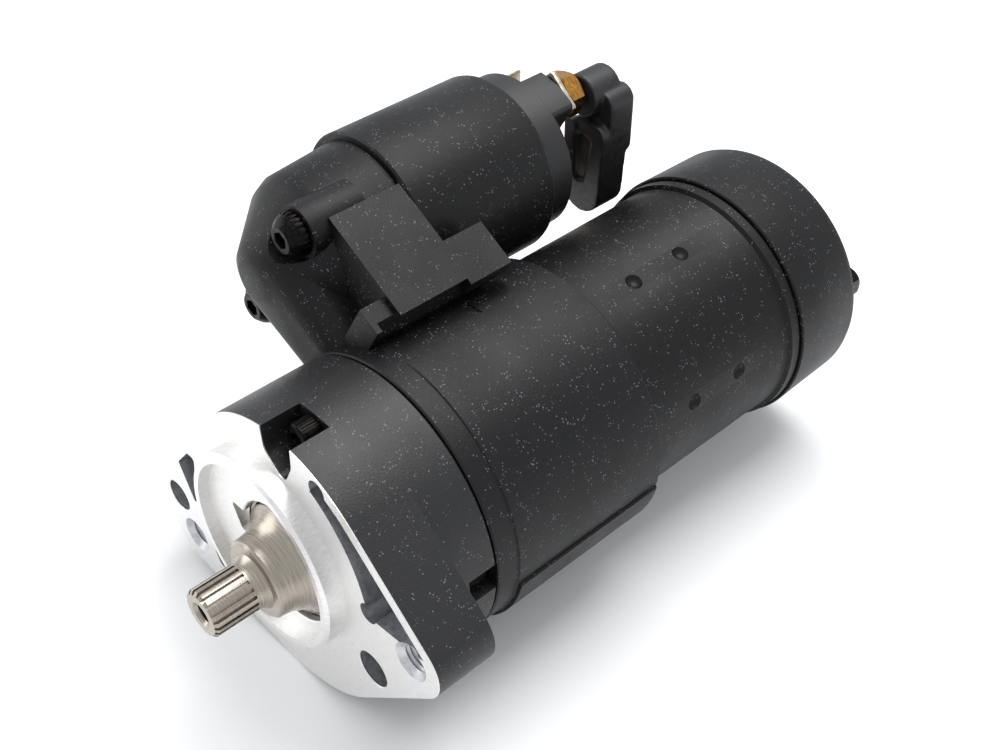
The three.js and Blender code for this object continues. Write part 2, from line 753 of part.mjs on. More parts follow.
function brushes() {
  const holderOuter = yokeBore - 0.6;
  const boltHoles = boltPlaces.map((place) =>
    at(rod(BOLT_RADIUS + 0.5, brushPlateFront - OVER, brushFront + 20), place),
  );
  const plateBody = ring(COMMUTATOR_RADIUS + 1.6, holderOuter, brushPlateFront, brushFront - GAP);
  const cages = [];
  const [inner, outer] = [COMMUTATOR_RADIUS + 1.6, holderOuter - 4];
  const wall = 1.2;
  const half = BRUSH_WIDTH / 2 + GAP;
  for (let i = 0; i < BRUSHES; i++) {
    const turn = degrees(BOLT_ANGLE + 45) + (i * Math.PI) / 2;
    const back = brushFront + BRUSH_HEIGHT + GAP;
    const cage = cut(
      block(inner, outer, brushPlateFront + 1, back + wall, -half - wall, half + wall),
      block(inner - OVER, outer - wall, brushFront - GAP, back, -half, half),
    );
    cages.push(spun(cage, turn));
    const brush = cut(
      block(
        COMMUTATOR_RADIUS - 1,
        outer - 5,
        brushFront,
        brushFront + BRUSH_HEIGHT,
        -BRUSH_WIDTH / 2,
        BRUSH_WIDTH / 2,
      ),
      rod(COMMUTATOR_RADIUS + GAP, brushFront - OVER, brushFront + BRUSH_HEIGHT + OVER),
    );
    piece(`brush_${i + 1}`, spun(brush, turn), graphite);
  }
  piece("brush_holder", cut(join(plateBody, ...cages), ...boltHoles), blackPlastic);
}

function centrePlate() {
  const boltHoles = boltPlaces.map((place) =>
    at(rod(BOLT_RADIUS + GAP, centrePlateFront - OVER, centrePlateFront + 6), place),
  );
  const hub = 14;
  const seat = 11.3;
  const body = turned(
    [
      [7, centrePlateFront],
      [YOKE_RADIUS, centrePlateFront],
      [YOKE_RADIUS, yokeFront - GAP],
      [hub, yokeFront - GAP],
      [hub, centrePlateFront + 9],
      [seat, centrePlateFront + 9],
      [seat, centrePlateFront + 1.6],
      [7, centrePlateFront + 1.6],
    ]);
  piece("centre_plate", cut(body, ...boltHoles), bareAluminium);
  const front = centrePlateFront + 1.9;
  piece("front_bearing", ring(MOTOR_SHAFT_RADIUS + GAP, seat - GAP, front, front + 7), brightSteel);
}

function endCap() {
  const inner = CAP_RADIUS - CAP_WALL;
  const hub = 14.5;
  const seat = 11.3;
  const wallFront = capBack - 3.5;
  const hubFront = rearBearingFront - 0.6;
  const body = turned(
    [
      [inner, capFront],
      [CAP_RADIUS + 0.3, capFront],
      [CAP_RADIUS - 0.3, capBack - 2.6],
      [CAP_RADIUS - 1, capBack - 0.8],
      [CAP_RADIUS - 2.8, capBack],
      [0, capBack],
      [0, rearBearingFront + 9.6],
      [MOTOR_SHAFT_RADIUS + 2, rearBearingFront + 9.6],
      [MOTOR_SHAFT_RADIUS + 2, rearBearingFront + 7.6],
      [seat, rearBearingFront + 7.6],
      [seat, hubFront],
      [hub, hubFront],
      [hub, wallFront],
      [inner - 1.5, wallFront],
      [inner, wallFront - 1.5],
    ]);
  const boltHoles = boltPlaces.map((place) =>
    at(rod(BOLT_RADIUS + GAP, wallFront - 6, capBack + OVER), place),
  );
  piece("end_cap", cut(body, ...boltHoles), blackPaint);
  const bearing = ring(MOTOR_SHAFT_RADIUS + GAP, seat - GAP, rearBearingFront, rearBearingFront + 7);
  piece("rear_bearing", bearing, brightSteel);
}

function hexHead(radius, front, back) {
  const head = new THREE.CylinderGeometry(radius, radius, back - front, 6);
  head.translate(0, (front + back) / 2, 0);
  return solid(head);
}

function throughBolts() {
  boltPlaces.forEach((place, i) => {
    const seat = capBack + GAP;
    const bolt = join(
      rod(BOLT_RADIUS, carrierFront, seat + 1),
      rod(BOLT_HEAD_RADIUS + 0.4, seat, seat + 1.5, 0.3),
      hexHead(BOLT_HEAD_RADIUS, seat + 1.2, seat + 1.2 + BOLT_HEAD_HEIGHT),
    );
    piece(`through_bolt_${i + 1}`, at(bolt, place), darkSteel);
  });
}

// ---------------------------------------------------------------------------------------------------------
// Planetary reduction
// ---------------------------------------------------------------------------------------------------------

const PRESSURE_ANGLE = degrees(20);
const involute = (angle) => Math.tan(angle) - angle;

// Half the angle that a tooth takes up at a radius; extra widens the tooth, in mm at the pitch circle.
function halfTooth(teeth, radius, extra) {
  const pitch = (GEAR_MODULE * teeth) / 2;
  const base = pitch * Math.cos(PRESSURE_ANGLE);
  const atPitch = Math.PI / (2 * teeth) + extra / (2 * pitch);
  const roll = Math.acos(Math.min(1, base / radius));
  return atPitch + involute(PRESSURE_ANGLE) - involute(roll);
}

// Outline of a gear with a tooth on the +X axis; addendum and dedendum are in modules.
function gearShape(teeth, addendum, dedendum = 1.25, extra = -BACKLASH / 2) {
  const pitch = (GEAR_MODULE * teeth) / 2;
  const root = pitch - dedendum * GEAR_MODULE;
  const tip = pitch + addendum * GEAR_MODULE;
  const base = pitch * Math.cos(PRESSURE_ANGLE);
  const levels = [root, pitch, tip];
  const points = [];
  for (let i = 0; i < teeth; i++) {
    const middle = (i * 2 * Math.PI) / teeth;
    const flank = levels.map((r) => [r, halfTooth(teeth, Math.max(r, base), extra)]);
    const up = flank.map(([r, half]) => [r, middle - half]);
    const down = flank.map(([r, half]) => [r, middle + half]).reverse();
    points.push(...[...up, ...down].map(([r, angle]) => [r * Math.cos(angle), r * Math.sin(angle)]));
  }
  return shapeOf(points);
}

const planetAngles = Array.from({ length: PLANETS }, (_, i) => Math.PI / 2 + (i * 2 * Math.PI) / PLANETS);

function planetarySet() {
  // the ring's tooth spaces have the outline of a gear that is a little too thick and too tall
  const spaces = gearShape(RING_TEETH, 1.2, 0.8, BACKLASH / 2);
  const toothSpaces = plate(spaces, gearFront - OVER, gearBack + OVER);
  const blank = rod(ringOuter, gearFront, gearBack);
  piece("ring_gear", cut(blank, spun(toothSpaces, Math.PI / 2)), darkSteel);

  planetAngles.forEach((angle, i) => {
    const place = polar(planetCircle, angle);
    const gear = plate(gearShape(PLANET_TEETH, 0.9), gearFront, gearBack);
    const bore = rod(PLANET_PIN_RADIUS + RUN, gearFront - OVER, gearBack + OVER);
    piece(`planet_gear_${i + 1}`, at(cut(spun(gear, angle), bore), place), brightSteel);
    const pin = rod(PLANET_PIN_RADIUS, carrierFront + 0.6, gearBack + 0.3, 0.4);
    piece(`planet_pin_${i + 1}`, at(pin, place), darkSteel);
  });

  const disc = turned(
    [
      [0, -1.5],
      [SHAFT_RADIUS - 0.8, -1.5],
      [SHAFT_RADIUS, -0.7],
      [SHAFT_RADIUS, carrierFront],
      [planetCircle + 5.4, carrierFront],
      [planetCircle + 5.4, carrierBack],
      [3.2, carrierBack],
      [3.2, carrierFront + 0.4],
      [0, carrierFront + 0.4],
    ]);
  const pinHoles = planetAngles.map((angle) =>
    at(rod(PLANET_PIN_RADIUS + GAP, carrierFront + 0.3, carrierBack + OVER), polar(planetCircle, angle)),
  );
  piece("planet_carrier", cut(disc, ...pinHoles), brightSteel);
}

// ---------------------------------------------------------------------------------------------------------
// Clutch and output shaft, which slide out together
// ---------------------------------------------------------------------------------------------------------

function splineShape() {
  const points = [];
  const pitch = (2 * Math.PI) / SPLINE_TEETH;
  for (let i = 0; i < SPLINE_TEETH; i++) {
    const middle = i * pitch;
    const corners = [
      [SPLINE_RADIUS - SPLINE_TOOTH, -0.36],
      [SPLINE_RADIUS, -0.2],
      [SPLINE_RADIUS, 0.2],
      [SPLINE_RADIUS - SPLINE_TOOTH, 0.36],
    ];
    points.push(...corners.map(([r, share]) => {
      const angle = middle + share * pitch;
      return [r * Math.cos(angle), r * Math.sin(angle)];
    }));
  }
  return shapeOf(points);
}

function outputShaft() {
  const raceRadius = 9.6;
  const raceBack = shellBack - 4;
  const body = turned(
    [
      [CENTRE_HOLE_RADIUS, -SPLINE_TIP],
      [SPLINE_RADIUS - 1.2, -SPLINE_TIP],
      [SPLINE_RADIUS - SPLINE_TOOTH - 0.02, -SPLINE_TIP + 0.8],
      [SPLINE_RADIUS - SPLINE_TOOTH - 0.02, -CONE_FRONT - 3.4],
      [SPLINE_RADIUS - 0.2, -CONE_FRONT - 1.6],
      [SPLINE_RADIUS + 1.2, -CONE_FRONT],
      [CONE_RADIUS - 0.7, -CONE_FRONT],
      [CONE_RADIUS, -CONE_FRONT + 0.7],
      [CONE_RADIUS + 0.5, -CONE_FRONT + 4.6],
      [CONE_RADIUS + 2.1, -CONE_FRONT + 8],
      [CLUTCH_RADIUS, -CONE_FRONT + 10.4],
      [CLUTCH_RADIUS, barrelBack],
      [raceRadius, barrelBack],
      [raceRadius, raceBack],
      [clutchBore, raceBack],
      [clutchBore, -4.5],
      [0, -4.5],
      [0, -SPLINE_TIP + CENTRE_HOLE_DEPTH],
      [CENTRE_HOLE_RADIUS, -SPLINE_TIP + CENTRE_HOLE_DEPTH - 1.4],
    ]);
  const chamfer = turned(
    [
      [0, -SPLINE_TIP],
      [SPLINE_RADIUS - 1.2, -SPLINE_TIP],
      [SPLINE_RADIUS + 0.2, -SPLINE_TIP + 1.4],
      [SPLINE_RADIUS + 0.2, -CONE_FRONT - 4.6],
      [SPLINE_RADIUS - 1, -CONE_FRONT - 3.2],
      [0, -CONE_FRONT - 3.2],
    ]);
  const teeth = plate(splineShape(), -SPLINE_TIP, -CONE_FRONT - 3).intersect(chamfer);
  const centreHole = rod(CENTRE_HOLE_RADIUS, -SPLINE_TIP - OVER, -SPLINE_TIP + CENTRE_HOLE_DEPTH - 1.4);
  piece("output_shaft", join(cut(teeth, centreHole), body), brightSteel);

  const seatInner = CLUTCH_RADIUS + RUN;
  piece("output_bearing", ring(seatInner, bearingRadius, bearingFront, bearingBack), brightSteel);
  piece("shaft_seal", ring(seatInner, bearingRadius, bearingBack + GAP, sealBack), blackRubber);
}

function clutchShell() {
  const outer = 20;
  const roomForRollers = 14.4;
  const sleeve = 10.5;
  const body = turned(
    [
      [roomForRollers, shellFront],
      [outer - 0.8, shellFront],
      [outer, shellFront + 0.8],
      [outer, shellBack - 1.5],
      [outer - 1.5, shellBack],
      [sleeve, shellBack],
      [sleeve, sleeveBack],
      [clutchBore, sleeveBack],
      [clutchBore, shellBack - 3.4],
      [roomForRollers, shellBack - 3.4],
    ]);
  piece("clutch_shell", body, darkSteel);

  const half = COLLAR_GROOVE / 2;
  const flange = 1.6;
  const groove = COLLAR_RADIUS - 2.6;
  const collar = turned(
    [
      [sleeve + GAP, collarRest - half - flange],
      [COLLAR_RADIUS, collarRest - half - flange],
      [COLLAR_RADIUS, collarRest - half],
      [groove, collarRest - half],
      [groove, collarRest + half],
      [COLLAR_RADIUS, collarRest + half],
      [COLLAR_RADIUS, collarRest + half + flange],
      [sleeve + GAP, collarRest + half + flange],
    ]);
  piece("shift_collar", collar, blackPlastic);
}

// ---------------------------------------------------------------------------------------------------------
// Shift lever, drawn square to the motor axis and then swung to its rest angle about the pivot pin
// ---------------------------------------------------------------------------------------------------------

function shiftLever() {
  // +Z runs from the solenoid's axis towards the motor's
  const pivotZ = solenoidDistance - PIVOT_FROM_MOTOR;
  const half = LEVER_THICKNESS / 2;
  const forkInner = COLLAR_RADIUS - 1.6;
  const forkOuter = forkInner + 4.6;
  const outline = new THREE.Shape();
  outline.moveTo(-3, 1.5);
  outline.lineTo(-3, pivotZ - 6);
  outline.lineTo(-6.6, pivotZ - 2);
  outline.lineTo(-6.6, pivotZ + 5);
  outline.lineTo(-forkOuter, solenoidDistance - 13);
  outline.lineTo(-forkOuter, solenoidDistance + 2.5);
  outline.lineTo(-forkInner, solenoidDistance + 2.5);
  outline.lineTo(-forkInner, solenoidDistance - 4);
  outline.quadraticCurveTo(-forkInner, solenoidDistance - 17.6, 0, solenoidDistance - 17.6);
  outline.quadraticCurveTo(forkInner, solenoidDistance - 17.6, forkInner, solenoidDistance - 4);
  outline.lineTo(forkInner, solenoidDistance + 2.5);
  outline.lineTo(forkOuter, solenoidDistance + 2.5);
  outline.lineTo(forkOuter, solenoidDistance - 13);
  outline.lineTo(6.6, pivotZ + 5);
  outline.lineTo(6.6, pivotZ - 2);
  outline.lineTo(3, pivotZ - 6);
  outline.lineTo(3, 1.5);
  outline.absarc(0, 1.5, 3, 0, -Math.PI, true);
  const arm = plate(outline, pivotY - half, pivotY + half, 8);
  const hub = new THREE.CylinderGeometry(5.4, 5.4, 13.2, 24);
  hub.rotateZ(Math.PI / 2);
  hub.translate(0, pivotY, pivotZ);
  const bore = new THREE.CylinderGeometry(PIVOT_PIN_RADIUS + RUN, PIVOT_PIN_RADIUS + RUN, 28, 24);
  bore.rotateZ(Math.PI / 2);
  bore.translate(0, pivotY, pivotZ);
  // pads at the fork's ends run in the collar's groove
  const pads = [-1, 1].map((side) =>
    block(
      Math.min(side * (COLLAR_RADIUS - 2.2), side * forkOuter),
      Math.max(side * (COLLAR_RADIUS - 2.2), side * forkOuter),
      pivotY - half,
      pivotY + half,
      solenoidDistance - 3.4,
      solenoidDistance + 2.5,
    ),
  );
  const lever = cut(join(arm, solid(hub), ...pads), solid(bore));
  // a positive turn about X takes +Y towards +Z, so this end moves back and the solenoid end forwards
  const swung = lever
    .translate([0, -pivotY, -pivotZ])
    .rotate([(-leverSwing * 180) / Math.PI, 0, 0])
    .translate([0, pivotY, pivotZ]);
  piece("shift_lever", toMotor(swung), darkSteel);
  piece("lever_pin", leverPin(PIVOT_PIN_RADIUS, 15), brightSteel);
}

// ---------------------------------------------------------------------------------------------------------
// Solenoid
// ---------------------------------------------------------------------------------------------------------

const coilFront = CAN_START + 5.6;
const coilBack = CAN_START + 33.6;
const bobbinBore = PLUNGER_RADIUS + RUN;
const coreFrontFace = CAN_START + 23;
const corePlate = { front: coilBack + GAP, back: coilBack + 5 };
const plungerBack = coreFrontFace - PLUNGER_TRAVEL - 0.8;
const plungerFlange = plungerSlotRest + 4.9; // the return spring pushes on it
const contactTravel = PLUNGER_TRAVEL / 4;
const discFront = corePlate.back + 2.4;
const discBack = discFront + 2;
const discRadius = STUD_CIRCLE + 2.8; // it bridges the heads of both main studs
const studHead = discBack + contactTravel + GAP;
const capFace = canBack + TERMINAL_CAP_DEPTH;
const towerFace = capFace + TOWER_HEIGHT;
const studLine = degrees(STUD_TILT);
const studArms = [1, -1].map((side) => polar(side * STUD_CIRCLE, studLine));
const [batteryPlace, motorPlace] = studArms.map(fromSolenoid);
const spadePlace = polar(19, degrees(118));

function solenoidCan() {
  const inner = CAN_RADIUS - CAN_WALL;
  const frontWall = 4.6;
  const body = turned(
    [
      [bobbinBore, CAN_START],
      [CAN_RADIUS - 0.6, CAN_START],
      [CAN_RADIUS, CAN_START + 0.6],
      [CAN_RADIUS, canBack - 2.2],
      [CAN_RADIUS - 0.7, canBack - 0.8],
      [CAN_RADIUS - 2, canBack],
      [inner - 1, canBack],
      [inner, canBack - 1],
      [inner, CAN_START + frontWall],
      [bobbinBore, CAN_START + frontWall],
    ]);
  const tapped = noseScrewPlaces.map((place) => {
    const local = { x: place.x - SOLENOID.x, z: place.z - SOLENOID.z };
    return at(rod(2.7 + GAP, CAN_START - OVER, CAN_START + frontWall + OVER), local);
  });
  piece("solenoid_can", at(cut(body, ...tapped), SOLENOID), blackPaint);
}

function coil() {
  const inner = CAN_RADIUS - CAN_WALL;
  const bobbin = turned(
    [
      [bobbinBore, coilFront],
      [inner - GAP, coilFront],
      [inner - GAP, coilFront + 1.4],
      [bobbinBore + 1.2, coilFront + 1.4],
      [bobbinBore + 1.2, coilBack - 1.4],
      [inner - GAP, coilBack - 1.4],
      [inner - GAP, coilBack],
      [bobbinBore, coilBack],
    ]);
  piece("coil_bobbin", at(bobbin, SOLENOID), blackPlastic);
  const winding = ring(bobbinBore + 1.5, inner - 1.2, coilFront + 1.7, coilBack - 1.7);
  piece("coil_winding", at(winding, SOLENOID), copper);
  const core = turned(
    [
      [2.6, coreFrontFace],
      [PLUNGER_RADIUS - 1, coreFrontFace],
      [PLUNGER_RADIUS, coreFrontFace + 1],
      [PLUNGER_RADIUS, corePlate.front],
      [inner - GAP, corePlate.front],
      [inner - GAP, corePlate.back],
      [2.6, corePlate.back],
    ]);
  piece("solenoid_core", at(core, SOLENOID), darkSteel);
}

function plunger() {
  const body = turned(
    [
      [0, plungerSlotRest - 5],
      [5.2, plungerSlotRest - 5],
      [6, plungerSlotRest - 4.2],
      [6, plungerFlange],
      [11.6, plungerFlange],
      [11.6, plungerFlange + 1.6],
      [PLUNGER_RADIUS, plungerFlange + 1.6],
      [PLUNGER_RADIUS, plungerBack - 0.8],
      [PLUNGER_RADIUS - 0.8, plungerBack],
      [0, plungerBack],
    ]);
  // the lever's end stands in this slot
  const slot = spun(
    block(-8, 8, plungerSlotRest - 2.9, plungerSlotRest + 2.9, -7, 4.4),
    solenoidAngle - Math.PI / 2,
  );
  piece("plunger", at(cut(body, slot), SOLENOID), brightSteel);

  const turns = 4;
  const wire = 0.8;
  const front = plungerFlange + 1.6 + GAP + wire;
  const back = CAN_START - GAP - wire;
  class Helix extends THREE.Curve {
    getPoint(t) {
      const angle = 2 * Math.PI * turns * t;
      const radius = PLUNGER_RADIUS + 1.9;
      const y = front + (back - front) * t;
      return new THREE.Vector3(radius * Math.cos(angle), y, radius * Math.sin(angle));
    }
  }
  const section = new THREE.Shape();
  section.absarc(0, 0, wire, 0, 2 * Math.PI);
  const spring = new THREE.ExtrudeGeometry(section, {
    steps: 14 * turns,
    curveSegments: 3,
    extrudePath: new Helix(),
  });
  piece("plunger_spring", at(solid(spring), SOLENOID), brightSteel);
}

function contacts() {
  // the plunger meets the rod at the end of its travel
  const rodFront = plungerBack + PLUNGER_TRAVEL - contactTravel + GAP;
  const rodBody = rod(2, rodFront, discFront - GAP);
  piece("contact_rod", at(rodBody, SOLENOID), brass);
  piece("contact_disc", at(rod(discRadius, discFront, discBack, 0.3), SOLENOID), copper);
}

// Round plastic cap with a tower round each stud.
function terminalCap() {
  const inner = CAN_RADIUS - CAN_WALL;
  const shell = turned(
    [
      [inner - 2.6, corePlate.back + GAP],
      [inner - GAP, corePlate.back + GAP],
      [inner - GAP, canBack - 1.3],
      [inner - 1.5, canBack - 0.4],
      [inner - 1.5, canBack + GAP],
      [TERMINAL_CAP_RADIUS, canBack + GAP],
      [TERMINAL_CAP_RADIUS, capFace - 1.4],
      [TERMINAL_CAP_RADIUS - 1.4, capFace],
      [0, capFace],
      [0, capFace - 5],
      [inner - 2.6, capFace - 5],
    ]);
  const towers = studArms.map((arm) =>
    at(spun(plate(roundedBox(14, 15, 2.5), capFace - 2, towerFace, 4), nose), arm),
  );
  const limit = rod(TERMINAL_CAP_RADIUS - 0.4, canBack, capFace + 20);
  const holes = studArms.map((arm) => at(rod(STUD_RADIUS + GAP, capFace - 8, towerFace + OVER), arm));
  const bridge = plate(roundedBox(12, 30, 2), capFace - 1, capFace + 3.6, 5);
  const spadeHole = at(
    solid(new THREE.BoxGeometry(2.2, 20, 7).translate(0, capFace, 0)),
    spadePlace,
  );
  const upper = join(
    ...towers.map((tower) => tower.intersect(limit)),
    spun(bridge, studLine - Math.PI / 2),
  );
  piece("terminal_cap", at(cut(join(shell, upper), ...holes, spadeHole), SOLENOID), blackPlastic);
}

function studs() {
  const studLength = 15;
  [batteryPlace, motorPlace].forEach((place, i) => {
    const stud = turned(
      [
        [0, studHead],
        [4.8, studHead],
        [4.8, studHead + 2.6],
        [STUD_RADIUS, studHead + 2.6],
        [STUD_RADIUS, towerFace + studLength - 1],
        [STUD_RADIUS - 0.8, towerFace + studLength],
        [0, towerFace + studLength],
      ]);
    const name = i === 0 ? "battery_stud" : "motor_stud";
    piece(name, at(stud, place), i === 0 ? brass : copper);
  });
  const plateBody = cut(
    spun(plate(roundedBox(13, 13, 1), towerFace + GAP, towerFace + 1.9, 3), nose - 0.2),
    rod(STUD_RADIUS + GAP, towerFace - OVER, towerFace + 4),
  );
  piece("battery_plate", at(plateBody, batteryPlace), nickel);
  [
    ["battery_nut", batteryPlace, brass],
    ["motor_nut", motorPlace, brass],
  ].forEach(([name, place, metal], i) => {
    const front = towerFace + (i === 0 ? 2.2 : 2.6);
    const nut = cut(hexHead(7.2, front, front + 5.6), rod(STUD_RADIUS + GAP, front - OVER, front + 8));
    piece(name, at(nut, place), metal);
  });

  // copper strap from the motor stud down into the end cap's front edge
  const strap = cut(
    spun(plate(roundedBox(12, 12, 3), towerFace + GAP, towerFace + 2.3, 4), nose),
    rod(STUD_RADIUS + GAP, towerFace - OVER, towerFace + 4),
  );
  piece("motor_lead", at(strap, motorPlace), copper);

  const spade = block(-0.4, 0.4, capFace - 3, capFace + 9, -3.1, 3.1);
  piece("spade_terminal", at(spade, fromSolenoid(spadePlace)), nickel);
}

// Soft boot: a lobe over the battery stud, a body over the cable's terminal and a sleeve that points down.
function rubberBoot() {
  const front = towerFace + 8.8;
  const back = front + 12;
  const body = beltAround([
    { x: -40.6, z: 27.4, radius: 7.8 },
    { x: -35.6, z: 48, radius: 4 },
    { x: -42, z: 48.4, radius: 4 },
  ]);
  const bulge = beltAround([
    { x: -36.4, z: 43, radius: 4.6 },
    { x: -36.2, z: 57.6, radius: 4.6 },
  ]);
  const boot = join(
    plate(body, front + 0.6, back, 8),
    plate(bulge, front + 3.6, back + 1.6, 8),
    at(rod(6.6, front, back - 0.4, 1.2), { x: batteryPlace.x + 3.4, z: batteryPlace.z - 0.6 }),
    block(-48.2, -43, front + 0.3, front + 3.6, 39.6, 50.5),
  );
  const stud = at(rod(STUD_RADIUS + GAP, front - OVER, back - 3), batteryPlace);
  piece("rubber_boot", cut(boot, stud), blackRubber);
}

function smallScrews() {
  noseScrewPlaces.forEach((place, i) => {
    const seat = NOSE_SCREW_SEAT - GAP;
    const head = turned(
      [
        [0, seat],
        [NOSE_SCREW_HEAD, seat],
        [NOSE_SCREW_HEAD, seat - 1.8],
        [NOSE_SCREW_HEAD - 1, seat - 3.8],
        [NOSE_SCREW_HEAD - 2.6, seat - 5.4],
        [0, seat - 5.4],
      ]);
    const socket = hexHead(2.6, seat - 8, seat - 2.6);
    const shank = rod(2.7, seat - 1, CAN_START + 4.2);
    piece(`solenoid_screw_${i + 1}`, at(cut(join(head, shank), socket), place), darkSteel);
  });
  const seat = NOTCH_DEPTH - GAP;
  const { radius, length, shank } = HOUSING_SCREW;
  const head = cut(rod(radius, seat - length, seat, 0.4), hexHead(2.3, seat - length - 1, seat - 2.4));
  const body = join(head, rod(shank, seat - 1, gearHousingFront + 10));
  piece("housing_screw", at(body, HOUSING_SCREW), darkSteel);
}

// ---------------------------------------------------------------------------------------------------------
// The whole motor
// ---------------------------------------------------------------------------------------------------------

frontHousing();
gearHousing();
motorYoke();
magnets();
armature();
brushes();
centrePlate();
endCap();
throughBolts();
planetarySet();
outputShaft();
clutchShell();
shiftLever();
solenoidCan();
coil();
plunger();
contacts();
terminalCap();
studs();
rubberBoot();
smallScrews();

const starterMotor = new THREE.Group();
starterMotor.name = "starter_motor";
starterMotor.add(...meshes);

export default starterMotor;
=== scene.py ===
# %% [markdown]
# # Starter motor
# A starter motor is a short, strong electric motor with a planetary gear in front of it. A solenoid
# beside it pulls a lever, and the lever slides the splined output shaft out through the mounting
# flange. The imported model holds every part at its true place. Each cell below takes one visible part
# and makes it again the way the real one is made: cast, painted, then machined bare, turned, drawn or
# moulded.

# %% Load the frame and keep its size
import json
import math

import bpy
from mathutils import Matrix, Vector

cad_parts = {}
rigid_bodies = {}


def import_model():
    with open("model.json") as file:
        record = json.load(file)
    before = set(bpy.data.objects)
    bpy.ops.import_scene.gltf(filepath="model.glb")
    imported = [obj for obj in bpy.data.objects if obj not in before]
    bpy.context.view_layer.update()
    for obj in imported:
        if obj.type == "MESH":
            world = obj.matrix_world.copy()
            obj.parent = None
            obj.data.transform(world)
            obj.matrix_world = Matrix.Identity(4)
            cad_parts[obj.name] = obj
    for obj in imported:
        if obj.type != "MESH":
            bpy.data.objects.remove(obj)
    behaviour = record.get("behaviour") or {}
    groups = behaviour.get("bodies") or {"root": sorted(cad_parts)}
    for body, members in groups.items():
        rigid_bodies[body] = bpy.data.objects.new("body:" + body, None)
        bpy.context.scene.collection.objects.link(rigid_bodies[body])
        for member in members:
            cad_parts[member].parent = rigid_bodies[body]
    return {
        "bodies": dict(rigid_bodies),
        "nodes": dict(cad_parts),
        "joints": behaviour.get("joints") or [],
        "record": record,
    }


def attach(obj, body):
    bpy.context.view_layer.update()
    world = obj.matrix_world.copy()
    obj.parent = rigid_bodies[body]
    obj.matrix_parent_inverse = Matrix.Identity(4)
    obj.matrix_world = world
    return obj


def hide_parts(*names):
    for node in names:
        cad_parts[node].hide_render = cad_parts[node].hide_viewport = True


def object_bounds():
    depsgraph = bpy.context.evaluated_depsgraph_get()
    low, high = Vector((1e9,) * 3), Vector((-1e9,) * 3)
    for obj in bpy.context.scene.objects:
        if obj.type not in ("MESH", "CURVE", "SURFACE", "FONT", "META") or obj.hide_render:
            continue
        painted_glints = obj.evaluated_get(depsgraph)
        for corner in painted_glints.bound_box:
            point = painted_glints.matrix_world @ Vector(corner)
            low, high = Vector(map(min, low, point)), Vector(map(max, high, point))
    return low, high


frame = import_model()
cad_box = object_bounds()

# %% [markdown]
# The camera comes first. It stands in front of the flange, to the right and above. A 50 mm lens keeps
# the far end of the motor almost as large as the near end, as a product camera does.

# %% Camera
MM = 0.001


def place_camera():
    right = Vector((0.6838, 0.7297, 0.0004))
    up = Vector((-0.4779, 0.4474, 0.7559))
    back = right.cross(up)
    data = bpy.data.cameras.new("camera")
    data.lens = 50
    data.sensor_width = 36
    camera = bpy.data.objects.new("camera", data)
    camera.matrix_world = Matrix.Translation(Vector((210.8, -124.7, 268.8)) * MM) @ (
        Matrix((right, up, back)).transposed().to_4x4()
    )
    bpy.context.scene.collection.objects.link(camera)
    bpy.context.scene.camera = camera
    return camera


print("camera at", [round(v, 3) for v in place_camera().matrix_world.translation])

# %% [markdown]
# Materials are node trees. One function turns an sRGB hex colour into the linear values that the shader
# wants, and one adds a node with its settings and its links. Every pattern reads Object coordinates,
# which are metres in this file, so the scale of a noise is one over the size of its grain.

# %% Node helpers


def linear(colour):
    """An sRGB hex colour as linear RGBA."""
    parts = [int(colour[i : i + 2], 16) / 255 for i in (0, 2, 4)]
    return (*[p / 12.92 if p <= 0.04045 else ((p + 0.055) / 1.055) ** 2.4 for p in parts], 1)


def per(millimetres):
    """Scale of a pattern whose repeat is that long."""
    return 1 / (millimetres * MM)


def node(tree, kind, values=None, links=None, **settings):
    """Adds a node. values and links go by input name or number; a link is a node or (node, output)."""
    added = tree.nodes.new("ShaderNode" + kind)
    for key, value in settings.items():
        setattr(added, key, value)
    for key, value in (values or {}).items():
        added.inputs[key].default_value = value
    for key, source in (links or {}).items():
        source, output = source if isinstance(source, tuple) else (source, 0)
        tree.links.new(source.outputs[output], added.inputs[key])
    return added


def new_material(name):
    """An empty material with its shader and the object's own coordinates."""
    made = bpy.data.materials.new(name)
    made.use_nodes = True
    tree = made.node_tree
    tree.nodes.clear()
    shader = node(tree, "BsdfPrincipled")
    node(tree, "OutputMaterial", links={"Surface": shader})
    where = (node(tree, "TexCoord"), "Object")
    return made, tree, shader, where


def ramp(tree, source, low, high, dark, light):
    """Maps source from low..high to dark..light, each a number or a colour."""
    if isinstance(dark, str):
        mixed = node(tree, "Mix", data_type="RGBA", clamp_factor=True)
        mixed.inputs[6].default_value = linear(dark)
        mixed.inputs[7].default_value = linear(light)
        share = ramp(tree, source, low, high, 0.0, 1.0)
        tree.links.new(share.outputs[0], mixed.inputs[0])
        return (mixed, 2)
    return node(
        tree,
        "MapRange",
        {"From Min": low, "From Max": high, "To Min": dark, "To Max": light},
        {"Value": source},
    )


print("50 per cent grey in linear light:", round(linear("808080")[0], 3))

# %% [markdown]
# The castings wear a textured black powder coat. Its film is thick enough to leave a fine grit of about
# half a millimetre. Pale grey specks painted into the colour on the tops of the grains are painted
# glints, standing for light caught by the grit. The drawn steel parts have a thinner, smoother paint. The
# front housing has the powder coat, but its flange face, pilot ring and bore are machined after coating,
# so bare aluminium shows wherever the cutter passed: in front of the flange plane, and inside the bore.

# %% Black paint and machined aluminium
PAINT_SHEEN = 0.25


